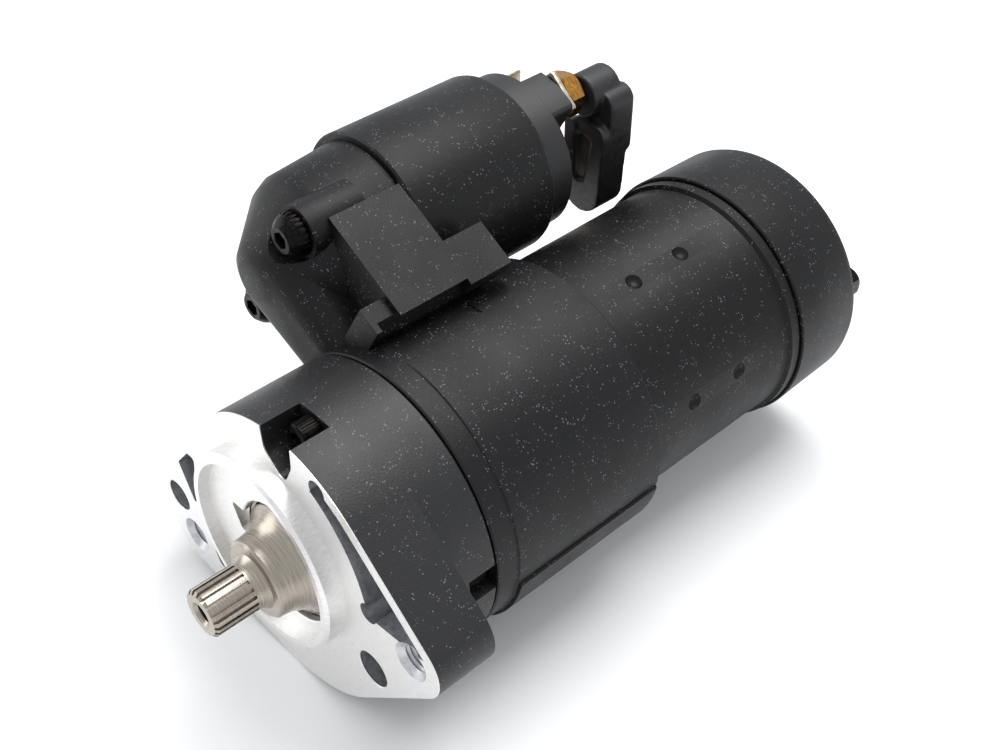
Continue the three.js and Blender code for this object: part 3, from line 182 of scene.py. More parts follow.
def coat(tree, where, base, light, grain, bump):
    """Colour, roughness and bump of a black powder coat with grains that size in mm, and pale painted
    glints.
    """
    sizes = {"Scale": per(grain), "Detail": 3.0, "Roughness": 0.6}
    grit = node(tree, "TexNoise", sizes, {"Vector": where})
    cloud = node(tree, "TexNoise", {"Scale": per(22), "Detail": 2.0}, {"Vector": where})
    # pale specks painted into the colour as glints where light would catch the grain tops, shown in patches
    glint_cells = node(tree, "TexVoronoi", {"Scale": per(0.9), "Randomness": 1.0}, {"Vector": where})
    shade = ramp(tree, grit, 0.35, 0.75, base, light)
    glint_dots = ramp(tree, glint_cells, 0.14, 0.26, 1.0, 0.0)
    glint_patches = node(tree, "TexNoise", {"Scale": per(3.1), "Detail": 1.0}, {"Vector": where})
    painted_glints = node(
        tree,
        "Math",
        links={0: glint_dots, 1: ramp(tree, glint_patches, 0.5, 0.6, 0.0, 1.0)},
        operation="MULTIPLY",
    )
    mixed = node(tree, "Mix", data_type="RGBA")
    tree.links.new(painted_glints.outputs[0], mixed.inputs[0])
    tree.links.new(shade[0].outputs[2], mixed.inputs[6])
    # grey of the painted glints
    mixed.inputs[7].default_value = linear("6a6b70")
    rough = ramp(tree, cloud, 0.35, 0.7, 0.43, 0.54)
    relief = node(tree, "Bump", {"Strength": bump, "Distance": 0.12 * MM}, {"Height": grit})
    return (mixed, 2), rough, relief


def black_powder_coat():
    # textured black powder coat on the cast gear housing
    made, tree, shader, where = new_material("black powder coat")
    shader.inputs["Specular IOR Level"].default_value = PAINT_SHEEN
    colour, rough, relief = coat(tree, where, "0b0b0c", "151517", 0.5, 0.8)
    tree.links.new(colour[0].outputs[2], shader.inputs["Base Color"])
    tree.links.new(rough.outputs[0], shader.inputs["Roughness"])
    tree.links.new(relief.outputs[0], shader.inputs["Normal"])
    return made


def smooth_black_paint():
    # thinner, smoother black paint on the drawn steel yoke, end cap and solenoid can
    made, tree, shader, where = new_material("smooth black paint")
    shader.inputs["Specular IOR Level"].default_value = PAINT_SHEEN
    colour, rough, relief = coat(tree, where, "09090a", "101011", 0.9, 0.35)
    tree.links.new(colour[0].outputs[2], shader.inputs["Base Color"])
    tree.links.new(rough.outputs[0], shader.inputs["Roughness"])
    tree.links.new(relief.outputs[0], shader.inputs["Normal"])
    return made


def front_housing_metal():
    # black powder coat with bare machined aluminium in front of the flange plane and inside the bore
    made, tree, shader, where = new_material("coated and faced aluminium")
    colour, rough, relief = coat(tree, where, "0b0b0c", "151517", 0.5, 0.8)
    part = node(tree, "SeparateXYZ", links={0: where})
    front = ramp(tree, (part, 1), 0.2 * MM, 0.3 * MM, 1.0, 0.0)
    flat = node(tree, "CombineXYZ", links={0: (part, 0), 1: (part, 2)})
    reach = node(tree, "VectorMath", links={0: flat}, operation="LENGTH")
    bore = ramp(tree, (reach, 1), 21.6 * MM, 21.8 * MM, 1.0, 0.0)
    bare = node(tree, "Math", links={0: front, 1: bore}, operation="MAXIMUM")
    swirl = node(tree, "Mapping", {"Scale": (per(2.2), per(2.2), per(0.25))}, {"Vector": where})
    marks = node(tree, "TexNoise", {"Scale": 1.0, "Detail": 3.0}, {"Vector": swirl})
    metal = ramp(tree, marks, 0.3, 0.75, "dedddc", "f3f2f0")
    shine = ramp(tree, marks, 0.3, 0.75, 0.34, 0.46)
    face = node(tree, "Mix", data_type="RGBA")
    tree.links.new(bare.outputs[0], face.inputs[0])
    tree.links.new(colour[0].outputs[2], face.inputs[6])
    tree.links.new(metal[0].outputs[2], face.inputs[7])
    dull = node(tree, "Mix")
    tree.links.new(bare.outputs[0], dull.inputs[0])
    tree.links.new(rough.outputs[0], dull.inputs[2])
    tree.links.new(shine.outputs[0], dull.inputs[3])
    tree.links.new(face.outputs[2], shader.inputs["Base Color"])
    tree.links.new(dull.outputs[0], shader.inputs["Roughness"])
    tree.links.new(bare.outputs[0], shader.inputs["Metallic"])
    tree.links.new(relief.outputs[0], shader.inputs["Normal"])
    return made


coats = {"cast": black_powder_coat(), "drawn": smooth_black_paint(), "front": front_housing_metal()}
print("coats:", sorted(coats))

# %% [markdown]
# The bare metals and the moulded parts share one recipe: two colours mixed by a noise of the right
# grain, a roughness that follows the same noise, and a faint relief. Turned steel has its grain drawn
# out round the axis, so its noise is squeezed along Y. Brass, copper and nickel differ in colour and in
# how blotchy their tarnish is.

# %% Bare metals, plastics and rubber


def grained(name, dark, light, rough, metallic, grain, bump):
    """grain is the size of the pattern along X, Y and Z in mm; rough is the lowest and highest roughness."""
    made, tree, shader, where = new_material(name)
    scale = tuple(per(size) for size in grain)
    spread = node(tree, "Mapping", {"Scale": scale}, {"Vector": where})
    noise = node(tree, "TexNoise", {"Scale": 1.0, "Detail": 4.0, "Roughness": 0.55}, {"Vector": spread})
    shade = ramp(tree, noise, 0.3, 0.7, dark, light)
    dull = ramp(tree, noise, 0.3, 0.7, *rough)
    relief = node(tree, "Bump", {"Strength": bump, "Distance": 0.05 * MM}, {"Height": noise})
    shader.inputs["Metallic"].default_value = metallic
    tree.links.new(shade[0].outputs[2], shader.inputs["Base Color"])
    tree.links.new(dull.outputs[0], shader.inputs["Roughness"])
    tree.links.new(relief.outputs[0], shader.inputs["Normal"])
    return made


metals = {
    # machined cast aluminium, unpainted
    "bare_aluminium": grained(
        "machined aluminium", "b4b5b8", "d0d1d3", (0.36, 0.5), 1.0, (1.2, 1.2, 1.2), 0.4
    ),
    # ground alloy steel of shafts, gears and races, slightly warm
    "bright_steel": grained("ground steel", "8f877c", "b3aba0", (0.2, 0.36), 1.0, (9, 0.22, 9), 0.25),
    # oiled black oxide on screws, laminations and stamped steel
    "dark_steel": grained("black oxide steel", "0f0f0f", "252322", (0.3, 0.48), 1.0, (0.8, 0.8, 0.8), 0.25),
    # glass-filled nylon of the terminal cap, collar and holders
    "black_plastic": grained(
        "glass-filled nylon", "0e0e0f", "1b1b1c", (0.42, 0.55), 0.0, (0.6, 0.6, 0.6), 0.3
    ),
    # moulded rubber of the terminal boot and the shaft seal
    "black_rubber": grained("moulded rubber", "0c0c0d", "1c1c1e", (0.4, 0.56), 0.0, (1.6, 1.6, 1.6), 0.35),
    # yellow brass of nuts and stud
    "brass": grained("brass", "8a5f28", "c4924c", (0.22, 0.4), 1.0, (1.4, 0.5, 1.4), 0.2),
    # copper of straps, windings and commutator
    "copper": grained("copper", "9a4e28", "cf7f50", (0.2, 0.42), 1.0, (1.2, 0.6, 1.2), 0.2),
    # dull nickel plate on the terminal tab
    "nickel": grained("dull nickel plate", "a39c8c", "cbc5b6", (0.24, 0.4), 1.0, (1.5, 1.5, 1.5), 0.2),
    # sintered ferrite magnets
    "magnet_grey": grained("ferrite", "29292b", "3d3d40", (0.55, 0.7), 0.0, (0.7, 0.7, 0.7), 0.3),
    # pressed copper-graphite brushes
    "graphite": grained("copper graphite", "2a2728", "4a4240", (0.35, 0.55), 0.3, (0.5, 0.5, 0.5), 0.3),
}
print("bare materials:", len(metals))

# %% [markdown]
# Shaping tools. Almost everything on a starter motor is either turned about an axis or is a plate whose
# outline a belt would take round a few circles. So there is one function for each: a lathe that
# extrudes a circle from station to station, and a belt that takes the hull of upright cylinders.
# Carving and welding are boolean modifiers, applied at once.

# %% Shaping functions
ROUND = 144
HALF_TURN = math.pi
QUARTER_TURN = HALF_TURN / 2
SOLENOID = (-51.0, 44.5)


def upright(place, turn=0.0):
    """Frame whose Y is the motor's, at (x, z) in mm, turned from +X towards +Z."""
    return Matrix.Translation(Vector((place[0], 0, place[1])) * MM) @ Matrix.Rotation(-turn, 4, "Y")


def deselect():
    if bpy.context.mode != "OBJECT":
        bpy.ops.object.mode_set(mode="OBJECT")
    bpy.ops.object.select_all(action="DESELECT")


def take(piece):
    deselect()
    piece.select_set(True)
    bpy.context.view_layer.objects.active = piece
    return piece


def named(name):
    """The object just added, with its transform applied."""
    piece = bpy.context.active_object
    piece.name = name
    bpy.ops.object.transform_apply(location=True, rotation=True, scale=True)
    return piece


def outward():
    """Merges doubles and turns the faces out, in edit mode."""
    bpy.ops.mesh.select_all(action="SELECT")
    bpy.ops.mesh.remove_doubles(threshold=0.005 * MM)
    bpy.ops.mesh.normals_make_consistent(inside=False)
    bpy.ops.object.mode_set(mode="OBJECT")


def turned(name, profile, centre=(0, 0), sides=ROUND):
    """Turned about an axis along Y from [radius, y] in mm.

    A profile that starts off the axis closes on itself.
    """
    x, z = centre
    hollow = profile[0][0] > 0
    stations = [*profile, profile[0]] if hollow else [p for p in profile if p[0] > 0]
    radius, y = stations[0]
    deselect()
    bpy.ops.mesh.primitive_circle_add(
        vertices=sides,
        radius=radius * MM,
        fill_type="NOTHING" if hollow else "NGON",
        location=(x * MM, y * MM, z * MM),
        rotation=(QUARTER_TURN, 0, 0),
    )
    piece = named(name)
    bpy.ops.object.mode_set(mode="EDIT")
    bpy.ops.mesh.select_all(action="SELECT")
    for new_radius, new_y in stations[1:]:
        bpy.ops.mesh.extrude_region_move(TRANSFORM_OT_translate={"value": (0, (new_y - y) * MM, 0)})
        ratio = new_radius / radius
        bpy.ops.transform.resize(value=(ratio, 1, ratio), center_override=(x * MM, new_y * MM, z * MM))
        radius, y = new_radius, new_y
    outward()
    return piece


def cylinder(name, radius, front, back, centre=(0, 0), sides=64, frame=Matrix.Identity(4), spin=0.0):
    """Plain cylinder along the frame's Y, as a cutter or as a start."""
    place = (
        frame
        @ Matrix.Translation(Vector((centre[0], (front + back) / 2, centre[1])) * MM)
        @ Matrix.Rotation(spin, 4, "Y")
        @ Matrix.Rotation(QUARTER_TURN, 4, "X")
    )
    deselect()
    bpy.ops.mesh.primitive_cylinder_add(
        vertices=sides,
        radius=radius * MM,
        depth=(back - front) * MM,
        location=place.translation,
        rotation=place.to_euler(),
    )
    return named(name)


def belt(name, circles, front, back, sides=96, frame=Matrix.Identity(4), extra=()):
    """Plate from front to back whose outline is a belt round circles given as (x, z, radius)."""
    posts = [cylinder(name, r, front, back, (x, z), sides, frame) for x, z, r in circles]
    posts += extra
    deselect()
    for post in posts:
        post.select_set(True)
    bpy.context.view_layer.objects.active = posts[0]
    bpy.ops.object.join()
    piece = bpy.context.active_object
    bpy.ops.object.mode_set(mode="EDIT")
    bpy.ops.mesh.select_all(action="SELECT")
    bpy.ops.mesh.convex_hull()
    bpy.ops.mesh.select_all(action="SELECT")
    bpy.ops.mesh.dissolve_limited(angle_limit=math.radians(0.5))
    outward()
    return piece


def brick(name, x, y, z, frame=Matrix.Identity(4)):
    """Box between pairs of x, y and z in the frame's mm."""
    middle = Vector([(pair[0] + pair[1]) / 2 * MM for pair in (x, y, z)])
    place = frame @ Matrix.Translation(middle)
    deselect()
    bpy.ops.mesh.primitive_cube_add(
        size=1,
        location=place.translation,
        rotation=place.to_euler(),
        scale=[(pair[1] - pair[0]) * MM for pair in (x, y, z)],
    )
    return named(name)


def copied(piece, name, turn, centre):
    """A copy with its own mesh, turned from +X towards +Z about an axis along Y."""
    take(piece)
    bpy.ops.object.duplicate()
    copy = bpy.context.active_object
    copy.name = name
    pivot = Vector((centre[0], 0, centre[1])) * MM
    spun = Matrix.Rotation(-turn, 4, "Y")
    copy.matrix_world = Matrix.Translation(pivot) @ spun @ Matrix.Translation(-pivot)
    bpy.ops.object.transform_apply(location=True, rotation=True, scale=True)
    return copy


def merged(pieces):
    """Joins pieces that don't touch into one object."""
    deselect()
    for piece in pieces:
        piece.select_set(True)
    bpy.context.view_layer.objects.active = pieces[0]
    bpy.ops.object.join()
    return bpy.context.active_object


def combine(piece, others, operation):
    for other in others:
        take(piece)
        step = piece.modifiers.new("shape", "BOOLEAN")
        step.operation = operation
        step.solver = "EXACT"
        step.object = other
        bpy.ops.object.modifier_apply(modifier=step.name)
        bpy.data.objects.remove(other)
    return piece


def carve(piece, *cutters):
    return combine(piece, cutters, "DIFFERENCE")


def weld(piece, *others):
    return combine(piece, others, "UNION")


def flute(piece, centre, count, inner, outer, width, front, back):
    """Cuts grooves along Y round a rod."""
    x, z = centre
    first = brick("groove", (x + inner, x + outer), (front, back), (z - width / 2, z + width / 2))
    grooves = [copied(first, "groove", 2 * HALF_TURN * i / count, centre) for i in range(1, count)]
    return carve(piece, merged([first, *grooves]))


def complete(piece, material, body, slot, *nodes, edge=0.35, angle=35):
    """Breaks the edges, smooths the round faces and puts the piece in place of its CAD nodes."""
    take(piece)
    if edge:
        step = piece.modifiers.new("edges", "BEVEL")
        step.width = edge * MM
        step.segments = 2
        step.limit_method = "ANGLE"
        step.angle_limit = math.radians(angle)
        bpy.ops.object.modifier_apply(modifier=step.name)
    bpy.ops.object.mode_set(mode="EDIT")
    outward()
    bpy.ops.object.shade_smooth_by_angle(angle=math.radians(angle))
    piece.name = piece.name.replace(" ", "-")
    piece.data.materials.clear()
    piece.data.materials.append(material)
    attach(piece, body)
    if nodes:
        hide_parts(*nodes)
    print(piece.name, len(piece.data.polygons), "faces")
    return piece


print("lathe sides:", ROUND)

# %% [markdown]
# The front housing is an aluminium casting: a short barrel and a flange with three ears. The flange
# face and the offset pilot ring are faced on a lathe. Cored pockets thin the flange, two ears are
# threaded and one is plain, and a notch at the top makes room for the screw that holds the housing to
# the gear housing.

# %% Front housing
PILOT = (-7.3, -0.3)
FACE = 0.0
FLANGE_BACK = 18.0
POCKET_FLOOR = 12.0
BARREL = (0, 0, 41.8)
BELLY_RADIUS = 47.2
# directions, from +X towards +Z, in which the belly is the outline
BELLY_FROM, BELLY_TO = -1.69, -0.77
EARS = [(-57.9, -21, 9.8), (-51.7, -32.9, 10.3), (46.8, 1, 10.2)]


def threaded_hole(name, centre, radius, front, back, pitch=1.25, chamfer=1.1):
    """Cutter for a threaded hole: a countersink, then rings at the thread's pitch."""
    mouth = radius + chamfer
    profile = [[0, front - 1], [mouth + 1, front - 1], [mouth, front], [radius, front + chamfer]]
    y = front + chamfer
    while y < back - pitch:
        profile += [[radius - 0.55, y + pitch / 2], [radius, y + pitch]]
        y += pitch
    profile += [[radius - 0.5, back], [0, back]]
    return turned(name, profile, centre, 48)


def long_pocket():
    """Cored pocket between the pilot ring and the flange's rim, from the notch to the right ear."""
    rim = 3.1
    circles = [(x, z, r - rim) for x, z, r in (BARREL, EARS[2])]
    pocket = belt("pocket", circles, FACE - 8, POCKET_FLOOR)
    carve(pocket, cylinder("inner wall", 38.3, FACE - 9, POCKET_FLOOR + 1, PILOT, 128))
    reach = 90
    for turn in (math.radians(6), math.radians(60) - HALF_TURN):
        # the half plane on the clockwise side of a ray at that angle goes
        side = upright(PILOT, turn)
        carve(pocket, brick("end", (-reach, reach), (FACE - 9, POCKET_FLOOR + 1), (-reach, 0), side))
    places = ((14.8, 34.9), (31.2, 5))
    return weld(pocket, *[cylinder("round end", 3, FACE - 7, POCKET_FLOOR - 0.1, place) for place in places])


def flange():
    """The flange's belly bulges only below the pilot ring, between the lower and the right ear."""
    belly = cylinder("belly", BELLY_RADIUS, FACE, FLANGE_BACK, PILOT, 160)
    carve(belly, brick("upper part", (-70, 70), (FACE - 1, FLANGE_BACK + 1), (-33.9, 60)))
    return belt("front housing", [BARREL, *EARS], FACE, FLANGE_BACK, 144, extra=[belly])


def within_flange(place, inset):
    """Whether a point in metres lies inside the flange's outline by that inset in mm."""
    for step in range(72):
        x, z = math.cos(step * HALF_TURN / 36), math.sin(step * HALF_TURN / 36)
        limit = max(cx * x + cz * z + r for cx, cz, r in [BARREL, *EARS])
        if BELLY_FROM < math.atan2(z, x) < BELLY_TO:
            limit = max(limit, PILOT[0] * x + PILOT[1] * z + BELLY_RADIUS)
        if (place.x * x + place.z * z) / MM > limit - inset:
            return False
    return True


def bare_inside(body):
    """Pockets and holes in the flange, and the bore, are uncoated; the notch for the screw is coated."""
    body.data.materials.append(metals["bare_aluminium"])
    for face in body.data.polygons:
        place = face.center
        notch = abs(place.x + 0.7 * MM) < 7.4 * MM and place.z > 28 * MM
        pocket = 0.3 * MM < place.y < 17.8 * MM and not notch and within_flange(place, 1.2)
        bore = math.hypot(place.x, place.z) < 31.5 * MM and place.y > 12.5 * MM
        if pocket or bore:
            face.material_index = 1


def front_housing():
    body = flange()
    weld(body, turned("barrel", [[0, 2], [41.8, 2], [41.8, 32.4], [41.2, 33], [0, 33]]))
    pilot = [[0, 0.5], [29.1, 0.5], [29.1, -5], [28.2, -5.9], [26.3, -5.9], [25.9, -2.7], [0, -2.7]]
    weld(body, turned("pilot ring", pilot, PILOT))
    bore = [[0, -8], [18.6, -8], [18.6, -3.2], [17.7, -2.4], [17.7, -0.6], [20.6, -0.6], [20.6, 11]]
    bore += [[31, 13.4], [31, 40], [0, 40]]
    relief = [(-20.4, 5, 1.2), (-13, 5, 1.2), (-13, -2.6, 1.2), (-18, -0.7, 1.2)]
    upper = [(-45.8, 2, 1.2), (-47.2, 2, 1.2), (-52.6, -4.6, 1.2), (-51, -7, 1.2)]
    upper += [(-49.1, -12.4, 1), (-48.3, -15.2, 1)]
    lower = [(-40.4, -28.2, 1.9), (-37.4, -29.2, 1.9), (-36.8, -34, 1.9), (-38.9, -34.2, 1.9)]
    lower += [(-40.3, -31.9, 1.6)]
    notch = [(0.4, 31.2, 2.4), (-0.7, 36.6, 5.8), (-0.7, 52, 6.6)]
    plain_hole = [[0, -1], [6.2, -1], [5.2, 0], [4.7, 0.5], [4.7, 19], [0, 19]]
    blind_hole = [[0, -1], [6.6, -1], [5.6, 0], [5.2, 0.5], [5.2, 11], [0, 11]]
    carve(
        body,
        turned("bore", bore),
        belt("relief", relief, -7, -0.7, 24),
        belt("upper pocket", upper, -1, POCKET_FLOOR, 24),
        belt("lower pocket", lower, -1, POCKET_FLOOR, 24),
        belt("screw notch", notch, -1, POCKET_FLOOR, 48),
        long_pocket(),
        brick("window", (37.5, 46), (23.7, 35), (-2.2, 6)),
        threaded_hole("lower ear", (-51.7, -32.9), 4.6, FACE, 19.5),
        threaded_hole("right ear", (46.8, 1), 4.5, FACE, 19.5),
        turned("outer ear", plain_hole, (-57.9, -21), 64),
        turned("inner hole", blind_hole, (31, -17), 64),
        cylinder("screw hole", 2.7, 10, 40, (-0.8, 36.6)),
    )
    complete(body, coats["front"], "housing", "black_paint", "front_housing", edge=0.45)
    bare_inside(body)
    return body


print("front housing box:", [round(v * 1000) for v in front_housing().dimensions])

# %% [markdown]
# The gear housing is the largest casting. Its barrel holds the ring gear, and its nose beside the
# barrel holds the plunger and the lever. A channel with round corners joins the two, because the lever
# swings in it. Two bosses take the screws that hold the solenoid. The flat shoulder and its tab steady
# the can.

# %% Gear housing
NOSE_TILT = math.radians(60)
NOSE_SCREWS = [(-41.6, 60.8), (-60.4, 28.2)]
HOUSING_FRONT = 33.3
CAN_FRONT = 69.4
axis_of_solenoid = upright(SOLENOID)
# local +Z runs along the line through the nose's two screws
nose_frame = axis_of_solenoid @ Matrix.Rotation(QUARTER_TURN - NOSE_TILT, 4, "Y")
# local +Z runs from the solenoid's axis to the motor's
lever_frame = axis_of_solenoid @ Matrix.Rotation(math.atan2(-SOLENOID[0], -SOLENOID[1]), 4, "Y")


def lever_channel():
    """Box with round corners whose front leans back towards the motor."""
    lean = Matrix.Translation(Vector((0, 30.2, 0)) * MM) @ Matrix.Rotation(math.radians(-8), 4, "X")
    standing = lever_frame @ lean @ Matrix.Rotation(QUARTER_TURN, 4, "X")
    corners = [(x, -y, 8) for x in (-5.5, 5.5) for y in (8, 31)]
    channel = belt("lever channel", corners, 0, 47.7, 64, standing)
    return carve(
        channel,
        brick("behind", (-90, 90), (CAN_FRONT - 0.35, 120), (-90, 110)),
        cylinder("front housing room", 43.8, 0, HOUSING_FRONT, sides=ROUND),
    )


def raised_pad():
    """Low pad on the lower right of the barrel."""
    pad = turned("pad", [[38, 41], [43.2, 41], [43.2, 93], [42.5, 93.7], [38, 93.7]])
    below = Matrix.Rotation(math.radians(11), 4, "Y")
    beside = Matrix.Rotation(math.radians(62) - HALF_TURN, 4, "Y")
    return carve(
        pad,
        brick("above", (-90, 90), (30, 110), (0, 90), below),
        brick("left", (-90, 90), (30, 110), (0, 90), beside),
    )


def gear_housing():
    barrel = [[0, 33.3], [41.6, 33.3], [41.9, 33.8], [41.9, 40.1], [42.3, 40.5], [42.3, 93.7]]
    barrel += [[41.5, 94.5], [0, 94.5]]
    body = turned("gear housing", barrel)
    outline = [[0, 30], [6, 30], [9.5, 31.6], [21.8, 44.8], [23.6, 48.6], [25.2, 69.1], [0, 69.1]]
    nose = turned("nose", outline, SOLENOID)
    weld(
        nose,
        lever_channel(),
        *[cylinder("boss", 7.6, 39, 58, place, 96) for place in NOSE_SCREWS],
        brick("slab", (3, 36), (45.6, 69.25), (-10, 26.5), nose_frame),
        brick("side", (28, 35.8), (38, 76.4), (-9.6, 24.5), nose_frame),
        brick("tab", (22.8, 36.8), (68.2, 82.8), (20.5, 26.4), nose_frame),
    )
    carve(nose, *[cylinder("spot face", 7.7, 20, 40, place, 96) for place in NOSE_SCREWS])
    weld(body, nose, raised_pad())
    inside = [[0, 20], [31, 20], [31, 56], [28.6, 58], [28.6, 76.6], [38.3, 76.6], [38.3, 96], [0, 96]]
    carve(
        body,
        turned("inside", inside),
        cylinder("plunger bore", 9.9, 38, 71, SOLENOID),
        cylinder("spring bore", 13.6, 46.1, 71, SOLENOID),
        brick("lever room", (-8.5, 8.5), (38.6, 57.4), (-7, 60), lever_frame),
        cylinder("can room", 27.7, 69.1, 96, SOLENOID, ROUND),
        brick("flat", (-10, -1.8), (39.7, 68.3), (41.5, 50)),
    )
    return complete(body, coats["cast"], "housing", "black_paint", "gear_housing", edge=0.9, angle=28)


print("gear housing box:", [round(v * 1000) for v in gear_housing().dimensions])

# %% [markdown]
# The yoke is a drawn steel tube that carries the six magnets. Small round punch marks hold each
# magnet's clip in place. The end cap is a pressed cup over its rear end. Two long bolts run from the
# cap into the gear housing.

# %% Yoke, end cap and through bolts
BOLT_ANGLE = math.radians(12.5)
BOLT_CIRCLE = 31.9


def round_motor(radius, angle):
    return (radius * math.cos(angle), radius * math.sin(angle))


def motor_yoke():
    wall = [[34.6, 80.5], [38, 80.5], [38, 153.4], [38.3, 154.4]]
    wall += [[39.5, 155.2], [39.5, 158.4], [39.1, 158.8], [34.6, 158.8]]
    yoke = turned("yoke", wall)
    marks = []
    for i in range(6):
        for y in (113.1, 132.5):
            x, z = round_motor(37.2 + 2.2, BOLT_ANGLE + i * HALF_TURN / 3)
            deselect()
            bpy.ops.mesh.primitive_uv_sphere_add(
                segments=32, ring_count=16, radius=2.9 * MM, location=(x * MM, y * MM, z * MM)
            )
            marks.append(named("punch mark"))
    carve(yoke, merged(marks))
    return complete(yoke, coats["drawn"], "housing", "black_paint", "motor_yoke", edge=0.25)


def end_cap():
    cup = [[37.2, 159.1], [40.1, 159.1], [40.5, 159.5], [40.3, 166], [39.9, 184.1], [39.2, 185.9]]
    cup += [[37.4, 186.7], [7, 186.7], [7, 184.2], [9.2, 184.2], [9.2, 176.8], [12.2, 176.8]]
    cup += [[12.2, 183.7], [35.7, 183.7], [37.2, 182.2]]
    cap = turned("end cap", cup)
    places = [round_motor(BOLT_CIRCLE, BOLT_ANGLE + turn) for turn in (0, HALF_TURN)]
    carve(cap, *[cylinder("bolt hole", 2.7, 170, 190, place, 32) for place in places])
    return complete(cap, coats["drawn"], "housing", "black_paint", "end_cap", edge=0.0)


def through_bolt(number, centre):
    """Flanged hex bolt whose shank runs the length of the motor."""
    shank = [[0, 66.4], [2.4, 66.4], [2.4, 187], [5.4, 187], [5.4, 187.7], [4.4, 188.5], [0, 188.5]]
    bolt = turned(f"through bolt {number}", shank, centre, 48)
    head = cylinder("head", 5, 188, 193.2, centre, 6, spin=number)
    weld(bolt, carve_crown(head, centre))
    return complete(bolt, metals["dark_steel"], "housing", "dark_steel", f"through_bolt_{number}", edge=0.2)


def carve_crown(head, centre):
    """Rounds the corners of a hex head at its outer face."""
    shell = [[0, 186], [8, 186], [8, 195], [4.2, 195], [4.2, 193.3], [5.3, 192.2], [5.3, 187], [0, 187]]
    return carve(head, turned("crown", shell, centre, 64))


motor_yoke()
end_cap()
for number, turn in ((1, 0), (2, HALF_TURN)):
    through_bolt(number, round_motor(BOLT_CIRCLE, BOLT_ANGLE + turn))

# %% [markdown]
# The solenoid's can is a drawn steel cup, crimped over the edge of the moulded terminal cap at its
# rear. The cap stands up round each of the two big studs, with a wall between them that keeps a spanner
# off the other terminal.

# %% Solenoid can and terminal cap
TOWER_TOP = 135.8
BATTERY = (-45.1, 60.7)
MOTOR_TERMINAL = (-56.9, 28.3)
SPADE = (-59.9, 61.3)
STUD_HOLE = 4.3


def solenoid_can():
    wall = [[25.2, 69.4], [26.8, 69.4], [27.4, 70], [27.4, 115.8]]
    wall += [[27.1, 116.8], [26.4, 117.6], [25.4, 118], [25.2, 118]]
    can = turned("solenoid can", wall, SOLENOID)
    return complete(can, coats["drawn"], "housing", "black_paint", "solenoid_can", edge=0.0)


def terminal_cap():
    disc = [[0, 118.3], [24.2, 118.3], [24.2, 127], [22.8, 128.4], [0, 128.4]]
    cap = turned("terminal cap", disc, SOLENOID)
    keep_in = [[23.8, 116], [40, 116], [40, 150], [23.8, 150]]
    towers = []
    for place in (BATTERY, MOTOR_TERMINAL):
        corner = upright(place, NOSE_TILT)
        posts = [(u, v, 2.5) for u in (-4.5, 4.5) for v in (-5, 5)]
        tower = belt("tower", posts, 125, TOWER_TOP, 32, corner)
        towers.append(carve(tower, turned("room", keep_in, SOLENOID)))
    bridge = axis_of_solenoid @ Matrix.Rotation(math.radians(20), 4, "Y")
    corners = [(u, v, 2) for u in (-4, 4) for v in (-13, 13)]
    weld(cap, *towers, belt("bridge", corners, 127, 132, 24, bridge))
    carve(
        cap,
        turned("hollow", [[0, 110], [21.4, 110], [21.4, 121], [18.8, 123.4], [0, 123.4]], SOLENOID),
        cylinder("battery hole", STUD_HOLE, 118, 140, BATTERY, 48),
        cylinder("motor hole", STUD_HOLE, 118, 140, MOTOR_TERMINAL, 48),
        brick("spade slot", (SPADE[0] - 1.1, SPADE[0] + 1.1), (112, 140), (SPADE[1] - 3.5, SPADE[1] + 3.5)),
    )
    return complete(cap, metals["black_plastic"], "housing", "black_plastic", "terminal_cap", edge=0.5)


solenoid_can()
terminal_cap()

# %% [markdown]
# Each big stud is a brass or copper screw whose head carries a contact inside the cap. Outside, a nut
# clamps the cable or strap. The small flat tab beside the battery stud feeds the coil.

# %% Studs, nuts and straps


def threaded_stud(name, centre, metal, slot_name):
    profile = [[0, 123.8], [4.8, 123.8], [4.8, 126.4], [4, 126.4], [4, 130]]
    y = 130
    while y < 149:
        profile += [[3.5, y + 0.625], [4, y + 1.25]]
        y += 1.25
    profile += [[3.2, 150.8], [0, 150.8]]
    stud = turned(name.replace("_", " "), profile, centre, 48)
    return complete(stud, metal, "housing", slot_name, name, edge=0.0)


def nut(name, centre, front, height):
    back = front + height
    body = cylinder(name.replace("_", " "), 7.2, front, back, centre, 6, spin=0.3)
    slope = [[0, front - 1], [9, front - 1], [9, back + 1], [6.2, back + 1], [6.2, back]]
    slope += [[7.4, back - 0.8], [7.4, front + 0.8], [6.2, front], [0, front]]
    chamfer = turned("chamfer", slope, centre, 64)
    carve(body, chamfer, cylinder("thread", STUD_HOLE, front - 1, back + 1, centre, 48))
    return complete(body, metals["brass"], "housing", "brass", name, edge=0.15)


def strap(name, centre, half, radius, front, back, spin, metal, slot_name):
    square = upright(centre, spin)
    inner = half - radius
    corners = [(u, v, radius) for u in (-inner, inner) for v in (-inner, inner)]
    plate = belt(name.replace("_", " "), corners, front, back, 24, square)
    carve(plate, cylinder("hole", STUD_HOLE, front - 1, back + 1, centre, 48))
    return complete(plate, metal, "housing", slot_name, name, edge=0.2)


threaded_stud("battery_stud", BATTERY, metals["brass"], "brass")
threaded_stud("motor_stud", MOTOR_TERMINAL, metals["copper"], "copper")
nut("battery_nut", BATTERY, 138, 5.6)
nut("motor_nut", MOTOR_TERMINAL, 138.4, 5.6)
strap("battery_plate", BATTERY, 6.5, 1, 136.1, 137.7, NOSE_TILT - 0.2, metals["nickel"], "nickel")
strap("motor_lead", MOTOR_TERMINAL, 6, 3, 136.1, 138.1, NOSE_TILT, metals["copper"], "copper")
spade_x = (SPADE[0] - 0.4, SPADE[0] + 0.4)
spade_z = (SPADE[1] - 3.1, SPADE[1] + 3.1)
blade = brick("spade terminal", spade_x, (125.4, 137.4), spade_z)
complete(blade, metals["nickel"], "housing", "nickel", "spade_terminal", edge=0.3)

